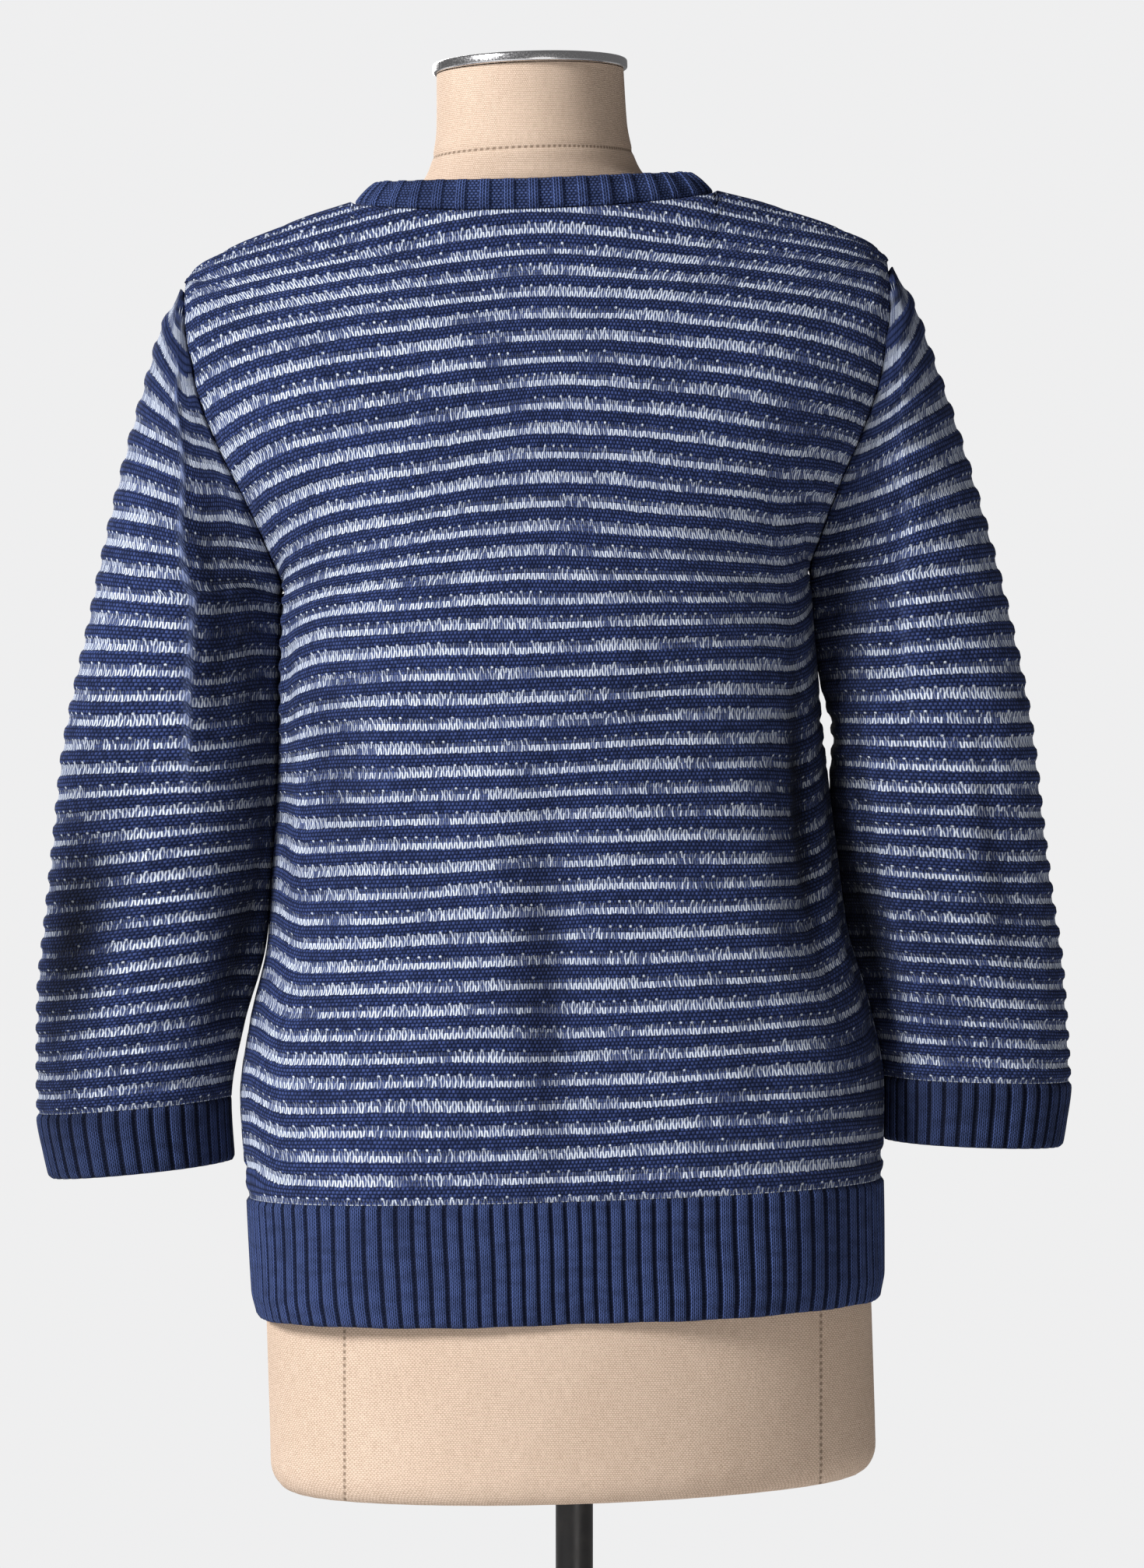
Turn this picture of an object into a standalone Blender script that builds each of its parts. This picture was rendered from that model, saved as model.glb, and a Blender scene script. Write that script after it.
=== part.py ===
"""A striped long cardigan worn on a limbless dress form, seen best from behind.

Metres, +Z up. The wearer faces -Y, so the back panel faces +Y, and the wearer's left is +X.
The origin is the middle of the base's underside, on the pole's axis. The pole and the base
are upright; the form and the cardigan lean a little towards +X, as one.

Every piece of cloth is a wall: an inner surface worked out from the sizes below, and an
outer surface that stands off it by the wall and by the knit's ridges or ribs.
"""

import math

import bmesh
import bpy
import numpy as np

# Stand
BASE_RADIUS = 0.190
BASE_EDGE_RADIUS = 0.006
BASE_THICKNESS = 0.014
HUB_RADIUS = 0.022
HUB_HEIGHT = 0.045
POLE_RADIUS = 0.0108
LEAN_DEG = 1.8

# Dress form
FORM_BOTTOM_Z = 0.600
FORM_NECK_TOP_Z = 1.4140
CAP_TOP_Z = 1.4200
CAP_RADIUS = 0.0563
FORM_SIDES = 24
STAND_SIDES = 24

# Cloth
WALL = 0.0024
RIDGE_HEIGHT = 0.0013
SEAM_WALL = 0.0018
RIB_HEIGHT = 0.0013
GAP = 0.0003
SEAM_GAP = 0.0005
TIP_EASE = 0.0012
COURSE_PITCH = 0.0135

# Levels of the cardigan
HEM_Z = 0.702
RIB_TOP_Z = 0.771
UNDERARM_Z = 1.118
TIP_Z = 1.297
NECK_SIDE_Z = 1.3388
NECK_BACK_Z = 1.3285
NECK_FRONT_Z = 1.262
NECK_HALF_WIDTH = 0.103
ARMHOLE_HALF_DEPTH = 0.049
SEAM_SHIFT_DEG = 11.0

# Trims
BAND_HALF_WIDTH = 0.0140
BAND_RIBS = 3
FRONT_EDGE_X = BAND_HALF_WIDTH + SEAM_GAP
OVERLAP_LIFT = 0.0026
HEM_RIBS_BACK = 57
HEM_RIBS_FRONT = 27
CUFF_RIBS = 36
CUFF_HEIGHT = 0.037
NECKBAND_HEIGHT = 0.021
NECKBAND_RIB_PITCH = 0.0140
NECKBAND_LIFTS = (12.0, 25.0, 12.0)
NECKBAND_GAP = 0.0010
BAND_END_LENGTH = 0.030
EVENING_PASSES = 12
BUTTON_RADIUS = 0.0065
BUTTON_THICKNESS = 0.0026
BUTTON_COUNT = 7
BUTTON_SIDES = 10
BUTTON_PROFILE = ((1.0, 0.0), (1.0, 0.7), (0.85, 1.0))

# Sleeve courses
SLEEVE_LAST_COURSE = 33.5
CUFF_TOP_OUTER_Z = 0.823
CUFF_TOP_INNER_Z = 0.829


def table(names, rows):
    """A short table: each name gives its column as an array."""
    values = np.array(rows, dtype=float)
    return {name: values[:, i] for i, name in enumerate(names.split())}


# Inner surface of the cardigan's body by height. "edge" is the half width below the arms, the
# armhole's half width above them, and the shoulder line's above the tip.
BODY = table(
    "z edge back front power",
    [
        (0.590, 0.1785, 0.112, 0.118, 2.4),
        (0.700, 0.1790, 0.113, 0.121, 2.4),
        (0.771, 0.1800, 0.113, 0.122, 2.4),
        (0.826, 0.1820, 0.110, 0.121, 2.4),
        (0.871, 0.1750, 0.106, 0.120, 2.35),
        (0.916, 0.1635, 0.102, 0.120, 2.3),
        (0.961, 0.1590, 0.099, 0.121, 2.3),
        (1.006, 0.1550, 0.099, 0.124, 2.25),
        (1.060, 0.1515, 0.102, 0.127, 2.2),
        (1.118, 0.1490, 0.105, 0.125, 2.2),
        (1.140, 0.1560, 0.1055, 0.123, 2.15),
        (1.170, 0.1680, 0.1045, 0.118, 2.1),
        (1.200, 0.1820, 0.102, 0.110, 2.1),
        (1.230, 0.1930, 0.0975, 0.100, 2.05),
        (1.268, 0.2000, 0.0875, 0.085, 2.0),
        (1.285, 0.2010, 0.0810, 0.077, 2.0),
        (1.297, 0.2010, 0.0755, 0.071, 2.0),
        (1.3032, 0.1955, 0.0725, 0.068, 2.0),
        (1.3112, 0.1820, 0.0690, 0.064, 2.0),
        (1.3183, 0.1655, 0.0660, 0.061, 2.0),
        (1.3298, 0.1340, 0.0610, 0.056, 2.0),
        (1.3388, 0.1030, 0.0570, 0.052, 2.0),
        (1.3450, 0.0850, 0.0550, 0.050, 2.0),
    ],
)

# How far the form's surface lies inside the cardigan's inner surface
FORM_EASE = table(
    "z side back front",
    [
        (0.600, 0.0035, 0.0035, 0.0035),
        (0.700, 0.0040, 0.0040, 0.0040),
        (0.771, 0.0055, 0.0050, 0.0050),
        (0.826, 0.0150, 0.0100, 0.0100),
        (0.871, 0.0300, 0.0220, 0.0220),
        (0.940, 0.0330, 0.0300, 0.0300),
        (1.060, 0.0150, 0.0120, 0.0120),
        (1.118, 0.0060, 0.0045, 0.0045),
        (1.170, 0.0110, 0.0011, 0.0024),
        (1.200, 0.0120, 0.0004, 0.0026),
        (1.230, 0.0120, 0.0012, 0.0032),
        (1.268, 0.0105, 0.0048, 0.0056),
        (1.297, 0.0095, 0.0052, 0.0080),
        (1.3330, 0.0090, 0.0052, 0.0090),
    ],
)

# The form's rounded lower edge, each level with its share of the full size, and the levels
# above it
FORM_BOTTOM = ((FORM_BOTTOM_Z, 0.92), (0.606, 0.975), (0.618, 1.0))
FORM_LEVELS = (0.771, 0.826, 0.871, 0.94, 1.03, 1.118, 1.17, 1.21, 1.24, 1.268, 1.285, 1.297)
FORM_LEVELS += (1.306, 1.318, 1.3315, 1.34, 1.347, 1.355, 1.368, 1.384, FORM_NECK_TOP_Z)

# The form's neck above the shoulders
FORM_NECK = table(
    "z side back front",
    [
        (1.3330, 0.1145, 0.0543, 0.0455),
        (1.3400, 0.0885, 0.0528, 0.0460),
        (1.3470, 0.0725, 0.0525, 0.0475),
        (1.3550, 0.0625, 0.0525, 0.0495),
        (1.3660, 0.0580, 0.0540, 0.0530),
        (1.3840, 0.0550, 0.0530, 0.0525),
        (1.4140, 0.0540, 0.0525, 0.0520),
    ],
)

# The sleeve's inner surface: its outermost line and its half depth
SLEEVE = table(
    "z outer depth",
    [
        (0.780, 0.2880, 0.0430),
        (0.800, 0.2920, 0.0430),
        (0.823, 0.2950, 0.0440),
        (0.889, 0.2930, 0.0460),
        (0.934, 0.2873, 0.0470),
        (0.979, 0.2811, 0.0480),
        (1.024, 0.2752, 0.0490),
        (1.069, 0.2678, 0.0500),
        (1.114, 0.2590, 0.05047),
        (1.159, 0.2484, 0.05047),
        (1.204, 0.2363, 0.05047),
        (1.249, 0.2221, 0.05047),
        (1.280, 0.2125, 0.05047),
        (1.297, 0.2072, 0.05047),
    ],
)

# Where a sleeve course meets the inner line or the armhole, and that place's height
SLEEVE_EDGE = table(
    "z course",
    [
        (0.829, 0.0),
        (1.118, 23.8),
        (1.1434, 25.9),
        (1.1807, 28.4),
        (1.2073, 30.4),
        (1.2240, 31.5),
        (1.2620, 33.0),
        (1.2966, 33.6),
    ],
)

# Large soft folds. "place" is the fraction across the panel or round the sleeve, negative
# towards the wearer's right or the front; depth is inwards, and negative outwards.
FOLD_NAMES = "place width top bottom depth"
BACK_FOLDS = table(
    FOLD_NAMES,
    [
        (-0.72, 0.16, 1.090, 0.860, 0.0060),
        (-0.86, 0.10, 0.980, 0.800, -0.0030),
        (0.08, 0.22, 1.130, 0.840, 0.0040),
        (0.62, 0.18, 1.120, 0.900, 0.0035),
    ],
)
SLEEVE_FOLDS = table(
    FOLD_NAMES,
    [
        (0.70, 0.26, 1.240, 1.000, 0.0070),
        (0.30, 0.18, 1.020, 0.840, 0.0045),
        (-0.45, 0.22, 1.180, 0.900, 0.0060),
        (0.80, 0.16, 0.980, 0.840, 0.0055),
    ],
)
FRONT_FOLDS = table(
    FOLD_NAMES,
    [
        (0.35, 0.22, 1.060, 0.840, 0.0050),
        (0.75, 0.20, 1.040, 0.820, 0.0040),
    ],
)

# Colours and finishes: colour, roughness, metallic
FINISHES = {
    "navy_knit": ((0.035, 0.055, 0.170, 1.0), 0.85, 0.0),
    "navy_rib": ((0.028, 0.045, 0.140, 1.0), 0.85, 0.0),
    "navy_button": ((0.020, 0.030, 0.080, 1.0), 0.35, 0.0),
    "linen_cover": ((0.620, 0.480, 0.350, 1.0), 0.90, 0.0),
    "chrome_cap": ((0.800, 0.800, 0.800, 1.0), 0.12, 1.0),
    "black_pole": ((0.012, 0.012, 0.013, 1.0), 0.35, 0.4),
}


def along(rows, name, at, key="z"):
    """A column read at any height, on a smooth curve that never overshoots its rows."""
    x = rows[key]
    y = rows[name]
    step = np.diff(x)
    rise = np.diff(y) / step
    slope = np.zeros_like(y)
    slope[0] = rise[0]
    slope[-1] = rise[-1]
    same = rise[:-1] * rise[1:] > 0
    total = rise[:-1] + rise[1:]
    slope[1:-1] = np.where(same, 2 * rise[:-1] * rise[1:] / np.where(same, total, 1.0), 0.0)
    at = np.clip(np.asarray(at, dtype=float), x[0], x[-1])
    i = np.clip(np.searchsorted(x, at) - 1, 0, len(x) - 2)
    h = step[i]
    t = (at - x[i]) / h
    start = (1 + 2 * t) * (1 - t) ** 2 * y[i] + t * (1 - t) ** 2 * h * slope[i]
    end = t**2 * (3 - 2 * t) * y[i + 1] + t**2 * (t - 1) * h * slope[i + 1]
    return start + end


def smoothstep(low, high, at):
    """0 at low, 1 at high, with soft ends."""
    t = np.clip((np.asarray(at, dtype=float) - low) / (high - low), 0.0, 1.0)
    return t * t * (3 - 2 * t)


def unit(vectors):
    """Vectors of length 1."""
    return vectors / np.maximum(np.linalg.norm(vectors, axis=-1, keepdims=True), 1e-12)


def lean(points):
    """Turns the form and the cardigan about the pole's top, towards +X."""
    angle = math.radians(LEAN_DEG)
    p = np.asarray(points, dtype=float)
    up = p[..., 2] - FORM_BOTTOM_Z
    x = p[..., 0] * math.cos(angle) + up * math.sin(angle)
    z = FORM_BOTTOM_Z - p[..., 0] * math.sin(angle) + up * math.cos(angle)
    return np.stack([x, p[..., 1], z], axis=-1)


def armhole_y(z):
    """Half the armhole's depth, fore and aft: an ellipse between the underarm and the tip."""
    t = np.clip((np.asarray(z, dtype=float) - UNDERARM_Z) / (TIP_Z - UNDERARM_Z), 0.0, 1.0)
    return ARMHOLE_HALF_DEPTH * 2 * np.sqrt(t * (1 - t))


def half_sizes(side, z):
    """Half width, half depth and power of the body's oval; its side is 1 behind, -1 in front."""
    depth = np.where(side > 0, along(BODY, "back", z), along(BODY, "front", z))
    power = along(BODY, "power", z)
    share = (armhole_y(z) / depth) ** power
    width = along(BODY, "edge", z) / (1 - share) ** (1 / power)
    return width, depth, power


def edge_angle(side, z):
    """The angle from the middle of a panel to its side seam or armhole."""
    width, depth, power = half_sizes(side, z)
    angle = np.arctan2(along(BODY, "edge", z) / width, armhole_y(z) / depth)
    shift = math.radians(SEAM_SHIFT_DEG) * (1 - smoothstep(0.80, UNDERARM_Z, z))
    return angle - side * shift


def oval(angle, side, z):
    """A point of the body's oval at an angle from the middle of a panel."""
    width, depth, power = half_sizes(side, z)
    other = half_sizes(-side, z)
    past = np.cos(angle) < 0
    width = np.where(past, other[0], width)
    depth = np.where(past, other[1], depth)
    turn = np.arctan2(width * np.sin(angle), depth * np.cos(angle))
    across = np.abs(np.sin(turn) / width)
    fore = np.abs(np.cos(turn) / depth)
    reach = (across**power + fore**power) ** (-1 / power)
    return reach * np.sin(turn), side * reach * np.cos(turn)


def panel_angle(side, place, z):
    """Spreads a panel's columns evenly over the arc from its middle or front edge to its side."""
    width, depth, power = half_sizes(side, z)
    first = 0.0 if side > 0 else np.arcsin(FRONT_EDGE_X / width)
    evened = place - 0.165 * (1 - depth / width) * np.sin(math.pi * place)
    return first + (edge_angle(side, z) - first) * evened


def panel_points(side, place, z):
    """The body's inner surface: place is 0 in the middle or at the front edge, 1 at the side."""
    z = np.asarray(z, dtype=float)
    hand = -1.0 if place < 0 else 1.0
    low = np.minimum(z, TIP_Z)
    x, y = oval(panel_angle(side, abs(place), low), side, low)
    width, depth, power = half_sizes(side, z)
    inside = np.clip(1 - (x / width) ** power, 0.0, 1.0)
    y = np.where(z > TIP_Z, side * depth * inside ** (1 / power), y)
    return np.stack([hand * x, y, z + 0 * x], axis=-1)


def body_normals(points, side):
    """Outward normals of the body's oval, from the gradient of its equation."""
    x, y, z = points[..., 0], points[..., 1], points[..., 2]
    side = np.where(y == 0, side, np.sign(y))
    step = 0.0005
    width, depth, power = half_sizes(side, z)
    wider, deeper, _ = half_sizes(side, z + step)
    narrow, thin, _ = half_sizes(side, z - step)
    across = np.abs(x / width)
    fore = np.abs(y / depth)
    gx = np.sign(x) * across ** (power - 1) / width
    gy = np.sign(y) * fore ** (power - 1) / depth
    gz = -(across**power * (wider - narrow) / width + fore**power * (deeper - thin) / depth) / (2 * step)
    return unit(np.stack([gx, gy, gz], axis=-1))


def shoulder_z(x):
    """The shoulder line's height above a distance from the middle."""
    z = np.linspace(TIP_Z, BODY["z"][-1], 600)
    line = along(BODY, "edge", z)
    return np.interp(x, line[::-1], z[::-1])


def neckline_z(side, x):
    """The neckline's height: a bowl, shallow behind and deep in front."""
    low, power = (NECK_BACK_Z, 0.5) if side > 0 else (NECK_FRONT_Z, 0.7)
    t = np.clip(np.abs(x) / NECK_HALF_WIDTH, 0.0, 1.0)
    return NECK_SIDE_Z - (NECK_SIDE_Z - low) * (1 - t**2) ** power


def top_z(side, place):
    """Where a column ends: at the neckline, the shoulder seam or the shoulder's tip."""
    z = np.linspace(NECK_FRONT_Z - 0.005, NECK_SIDE_Z + 0.0002, 3000)
    x = np.abs(panel_points(side, place, z)[:, 0])
    limit = np.where(x < NECK_HALF_WIDTH, neckline_z(side, x), shoulder_z(x))
    over = np.nonzero(z >= limit)[0]
    if len(over) == 0:
        return NECK_SIDE_Z
    return min(float(limit[over[0]]), NECK_SIDE_Z)


def fold_depth(folds, place, z):
    """The sum of the folds' depths at a place, each a soft trough of its own width and length."""
    total = np.zeros(np.shape(z))
    for i in range(len(folds["place"])):
        across = np.abs(place - folds["place"][i]) / folds["width"][i]
        middle = (folds["top"][i] + folds["bottom"][i]) / 2
        reach = (folds["top"][i] - folds["bottom"][i]) / 2
        length = np.abs(z - middle) / reach
        soft = np.cos(np.clip(across, 0, 1) * math.pi / 2) ** 2
        total = total + folds["depth"][i] * soft * np.cos(np.clip(length, 0, 1) * math.pi / 2) ** 2
    return total


def overlap_lift(side, x):
    """The right front rises over the left front's band beside its own front edge."""
    if side > 0:
        return 0 * x
    return OVERLAP_LIFT * (1 - smoothstep(FRONT_EDGE_X, 0.036, -x)) * (x < 0)


def panel_column(side, place):
    """One column of a panel: heights and their courses, counted in pitches of cloth."""
    top = top_z(side, place)
    w = np.linspace(0, 1, 500)
    z = RIB_TOP_Z + (top - RIB_TOP_Z) * (1 - (1 - w) ** 2)
    points = panel_points(side, place, z)
    run = np.concatenate([[0], np.cumsum(np.linalg.norm(np.diff(points, axis=0), axis=1))])
    return z, run / COURSE_PITCH


def panel_wall(side, place, z, course, folds):
    """Inner and outer points of one column of a panel."""
    inner = panel_points(side, place, z)
    inner[:, 1] += side * GAP * (np.abs(inner[:, 1]) < GAP) * (z > TIP_Z - 0.004)
    normal = body_normals(inner, side)
    x = inner[:, 0]
    inner = inner + normal * (overlap_lift(side, x) - fold_depth(folds, place, z))[:, None]
    at_armhole = smoothstep(UNDERARM_Z - 0.012, UNDERARM_Z + 0.012, z) * smoothstep(0.93, 1.0, abs(place))
    wall = WALL + (SEAM_WALL - WALL) * at_armhole
    ridge = RIDGE_HEIGHT * np.sin(math.pi * course) ** 2 * (1 - at_armhole)
    return inner, inner + normal * (wall + ridge)[:, None]


def panel_grid(side, places, folds):
    """The columns of a panel, outside and inside, each with its levels and points."""
    outer = []
    inner = []
    tops = []
    for place in places:
        z, course = panel_column(side, place)
        last = course[-1]
        fine = np.append(np.arange(0, last - 0.2, 0.5), last)
        coarse = np.append(np.concatenate([np.arange(0, 33, 2), np.arange(33, 60, 1)]), last)
        coarse = np.append(coarse[coarse < last - 0.4], last)
        fine_z = np.interp(fine, course, z)
        coarse_z = np.interp(coarse, course, z)
        crest = np.where(fine < last, fine, 0.0)
        outer.append((fine, panel_wall(side, place, fine_z, crest, folds)[1]))
        inner.append((coarse, panel_wall(side, place, coarse_z, coarse, folds)[0]))
        base, face = panel_wall(side, place, fine_z[-1:], np.zeros(1), folds)
        tops.append((base[0], unit(face - base)[0]))
    return outer, inner, tops


def sleeve_depth(z):
    """The half depth of the sleeve's oval: its own up to the armhole's middle, then the armhole's."""
    middle = (UNDERARM_Z + TIP_Z) / 2
    return np.where(z < middle, along(SLEEVE, "depth", z), np.maximum(1.03 * armhole_y(z), 0.002))


def sleeve_angles(place, z):
    """The angle of a place round the sleeve's oval from its outermost line, and of the last."""
    last = math.pi - np.arcsin(np.clip(armhole_y(z) / sleeve_depth(z), 0.0, 1.0))
    return abs(place) * math.pi - (math.pi - last) * place**2, last


def sleeve_base(place, z):
    """The sleeve's oval before it is moved clear of the body: place 0 outermost, 1 innermost."""
    side = 1 if place >= 0 else -1
    edge = along(BODY, "edge", z)
    half_depth = sleeve_depth(z)
    angle, last = sleeve_angles(place, z)
    outermost = along(SLEEVE, "outer", z)
    half_width = (outermost - edge) / (1 - np.cos(last))
    x = outermost - half_width * (1 - np.cos(angle))
    y = side * half_depth * np.sin(angle)
    return np.stack([x, y, z + 0 * x], axis=-1)


def cross_normals(function, place, z):
    """Outward normals of a surface, from small steps along it and up it."""
    step = 0.0005
    near = np.clip(place, -1 + step, 1 - step)
    if abs(near) < step:
        near = step
    run = function(near + step, z) - function(near - step, z)
    rise = function(near, z + step) - function(near, z - step)
    return unit(np.cross(run, rise))


def edge_wall(z):
    """The wall's thickness where the sleeve meets the body."""
    full = WALL + RIDGE_HEIGHT
    return full + (SEAM_WALL - full) * smoothstep(UNDERARM_Z - 0.012, UNDERARM_Z + 0.012, z)


def seam_shift(side, z):
    """Moves the sleeve's edge so that the two walls' outer corners lie a gap apart."""
    z = np.clip(z, 0.60, TIP_Z - 0.0010)
    step = 0.0004
    upper = panel_points(side, 1.0, np.minimum(z + step, TIP_Z))
    lower = panel_points(side, 1.0, z - step)
    tangent = unit(upper - lower)
    edge = panel_points(side, 1.0, z)
    body = body_normals(edge, side)
    sleeve = cross_normals(sleeve_base, side * 1.0, z)
    lean_in = body - sleeve
    cross = side * np.cross(body + sleeve, tangent)
    cross = np.where(cross[:, :1] < 0, -cross, cross)
    across = unit(cross + lean_in)
    inward = np.maximum((lean_in * across).sum(axis=1), 0.0)
    ease = TIP_EASE * smoothstep(TIP_Z - 0.045, TIP_Z - 0.020, z)
    above = across * (edge_wall(z) * inward + SEAM_GAP + ease)[:, None]
    beside = np.zeros_like(above)
    beside[:, 0] = 2 * edge_wall(z) + SEAM_GAP
    share = smoothstep(UNDERARM_Z - 0.001, UNDERARM_Z + 0.010, z)[:, None]
    return beside + (above - beside) * share


def sleeve_points(place, z):
    """The sleeve's inner surface for the wearer's left arm."""
    z = np.atleast_1d(np.asarray(z, dtype=float))
    side = 1 if place >= 0 else -1
    angle, last = sleeve_angles(place, z)
    share = ((1 - np.cos(angle)) / (1 - np.cos(last))) ** 4
    return sleeve_base(place, z) + seam_shift(side, z) * share[:, None]


def sleeve_z(course, place):
    """The height of a sleeve course: highest at the outermost line, lowest at the armhole."""
    outer = CUFF_TOP_OUTER_Z + 0.0106 * course + 0.000104 * course**2
    inner = along(SLEEVE_EDGE, "z", course, key="course")
    inner = np.where(course < 0, CUFF_TOP_INNER_Z + 0.0106 * course, inner)
    share = math.sin(math.pi * abs(place) / 2) ** 2
    return np.minimum(outer + (inner - outer) * share, TIP_Z - 0.0004)


def sleeve_column(place, z, ridge, folds):
    """Inner and outer points of one column of a sleeve or a cuff."""
    inner = sleeve_points(place, z)
    normal = cross_normals(sleeve_points, place, z)
    inner = inner - normal * fold_depth(folds, place, z)[:, None]
    at_armhole = smoothstep(UNDERARM_Z - 0.012, UNDERARM_Z + 0.012, z) * smoothstep(0.9, 1.0, abs(place))
    wall = WALL + (SEAM_WALL - WALL) * at_armhole
    return inner, inner + normal * (wall + ridge * (1 - at_armhole))[:, None]


def mirrored(columns):
    """The same columns for the wearer's right side."""
    return [(levels, points * np.array([-1.0, 1.0, 1.0])) for levels, points in columns]


def zip_columns(faces, a, a_levels, b, b_levels, favour=1e-9):
    """Triangles between two columns that may have different numbers of points.

    Each step moves on along the column whose next edge has the lower middle; where both are
    level it is a's, or b's with a negative favour.
    """
    i = 0
    j = 0
    while i < len(a) - 1 or j < len(b) - 1:
        first = j == len(b) - 1
        if i < len(a) - 1 and not first:
            first = a_levels[i] + a_levels[i + 1] < b_levels[j] + b_levels[j + 1] + favour
        if first:
            faces.append((a[i], b[j], a[i + 1]))
            i += 1
        else:
            faces.append((a[i], b[j], b[j + 1]))
            j += 1


def place_columns(points, columns, weld_to):
    """Adds columns' points and returns their numbers; the last may share the first's points."""
    numbers = []
    for c, (levels, column) in enumerate(columns):
        kept = 0
        shared = []
        if c == len(columns) - 1 and weld_to is not None:
            kept = int(np.sum(levels <= weld_to + 1e-9))
            shared = numbers[0][:kept]
        start = len(points)
        points.extend(column[kept:])
        numbers.append(list(shared) + list(range(start, len(points))))
    return numbers


def wall_solid(name, finish, outer, inner, outer_places, inner_places, weld_to=None):
    """A closed wall between an outer and an inner sheet of columns."""
    points = []
    faces = []
    sheets = []
    for columns in (outer, inner):
        numbers = place_columns(points, columns, weld_to)
        levels = [c[0] for c in columns]
        for k in range(len(numbers) - 1):
            favour = 1e-9 if 2 * k + 1 < len(numbers) else -1e-9
            zip_columns(faces, numbers[k], levels[k], numbers[k + 1], levels[k + 1], favour)
        sheets.append((numbers, levels))
    (a, a_levels), (b, b_levels) = sheets
    for end in (0, -1):
        first = [n[end] for n in a]
        second = [n[end] for n in b]
        zip_columns(faces, first, outer_places, second, inner_places)
    for edge in (0, -1):
        skip_a = 0 if weld_to is None else max(int(np.sum(a_levels[edge] <= weld_to + 1e-9)) - 1, 0)
        skip_b = 0 if weld_to is None else max(int(np.sum(b_levels[edge] <= weld_to + 1e-9)) - 1, 0)
        zip_columns(
            faces, a[edge][skip_a:], a_levels[edge][skip_a:], b[edge][skip_b:], b_levels[edge][skip_b:]
        )
    return mesh_object(name, finish, lean(np.array(points)), faces)


def mesh_object(name, finish, points, faces):
    """A mesh object with outward faces, shaded smooth but for its sharp edges."""
    mesh = bpy.data.meshes.new(name)
    build = bmesh.new()
    corners = [build.verts.new(p) for p in points]
    for face in faces:
        build.faces.new([corners[i] for i in face])
    bmesh.ops.recalc_face_normals(build, faces=build.faces)
    build.to_mesh(mesh)
    build.free()
    mesh.shade_smooth()
    mesh.set_sharp_from_angle(angle=math.radians(40))
    mesh.materials.append(finish)
    thing = bpy.data.objects.new(name, mesh)
    bpy.context.scene.collection.objects.link(thing)
    return thing


def ring_solid(name, finish, rings):
    """A closed solid through rings of equal numbers of points, with a flat face on each end."""
    points = np.concatenate(rings)
    count = len(rings[0])
    faces = []
    for level in range(len(rings) - 1):
        for k in range(count):
            a = level * count + k
            b = level * count + (k + 1) % count
            faces.append((a, b, b + count, a + count))
    faces.append(tuple(range(count)))
    last = (len(rings) - 1) * count
    faces.append(tuple(range(last, last + count)))
    return mesh_object(name, finish, points, faces)


def finish_material(name):
    """A Principled BSDF with one finish's colour, roughness and metallic value."""
    colour, roughness, metallic = FINISHES[name]
    material = bpy.data.materials.new(name)
    material.use_nodes = True
    shader = material.node_tree.nodes["Principled BSDF"]
    shader.inputs["Base Color"].default_value = colour
    shader.inputs["Roughness"].default_value = roughness
    shader.inputs["Metallic"].default_value = metallic
    return material


def circle(radius, z, count):
    """A level ring of points round the pole's axis."""
    turn = np.linspace(0, 2 * math.pi, count, endpoint=False)
    return np.stack([radius * np.cos(turn), radius * np.sin(turn), 0 * turn + z], axis=-1)


def make_stand(finish):
    """The round base with its hub, and the pole that stands on it."""
    edge = BASE_EDGE_RADIUS
    turn = np.radians([0, 45, 90])
    rings = [circle(BASE_RADIUS - edge, 0.0, STAND_SIDES)]
    for a in turn:
        reach = BASE_RADIUS - edge + edge * math.cos(a)
        rings.append(circle(reach, BASE_THICKNESS - edge + edge * math.sin(a), STAND_SIDES))
    rings.append(circle(HUB_RADIUS, BASE_THICKNESS + 0.001, STAND_SIDES))
    rings.append(circle(HUB_RADIUS, HUB_HEIGHT, STAND_SIDES))
    ring_solid("base", finish, rings)
    slant = POLE_RADIUS * math.sin(math.radians(LEAN_DEG))
    top = FORM_BOTTOM_Z - GAP - slant
    ring_solid("pole", finish, [circle(POLE_RADIUS, HUB_HEIGHT + GAP, 16), circle(POLE_RADIUS, top, 16)])


def form_ring(z, count=FORM_SIDES):
    """One section of the dress form."""
    turn = np.linspace(0, 2 * math.pi, count, endpoint=False)
    behind = np.sin(turn) >= 0
    if z < FORM_NECK["z"][0]:
        side = along(BODY, "edge", z) - along(FORM_EASE, "side", z)
        back = along(BODY, "back", z) - along(FORM_EASE, "back", z)
        front = along(BODY, "front", z) - along(FORM_EASE, "front", z)
    else:
        side = along(FORM_NECK, "side", z)
        back = along(FORM_NECK, "back", z)
        front = along(FORM_NECK, "front", z)
    y = np.where(behind, back, front) * np.sin(turn)
    return np.stack([side * np.cos(turn), y, 0 * turn + z], axis=-1)


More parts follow.
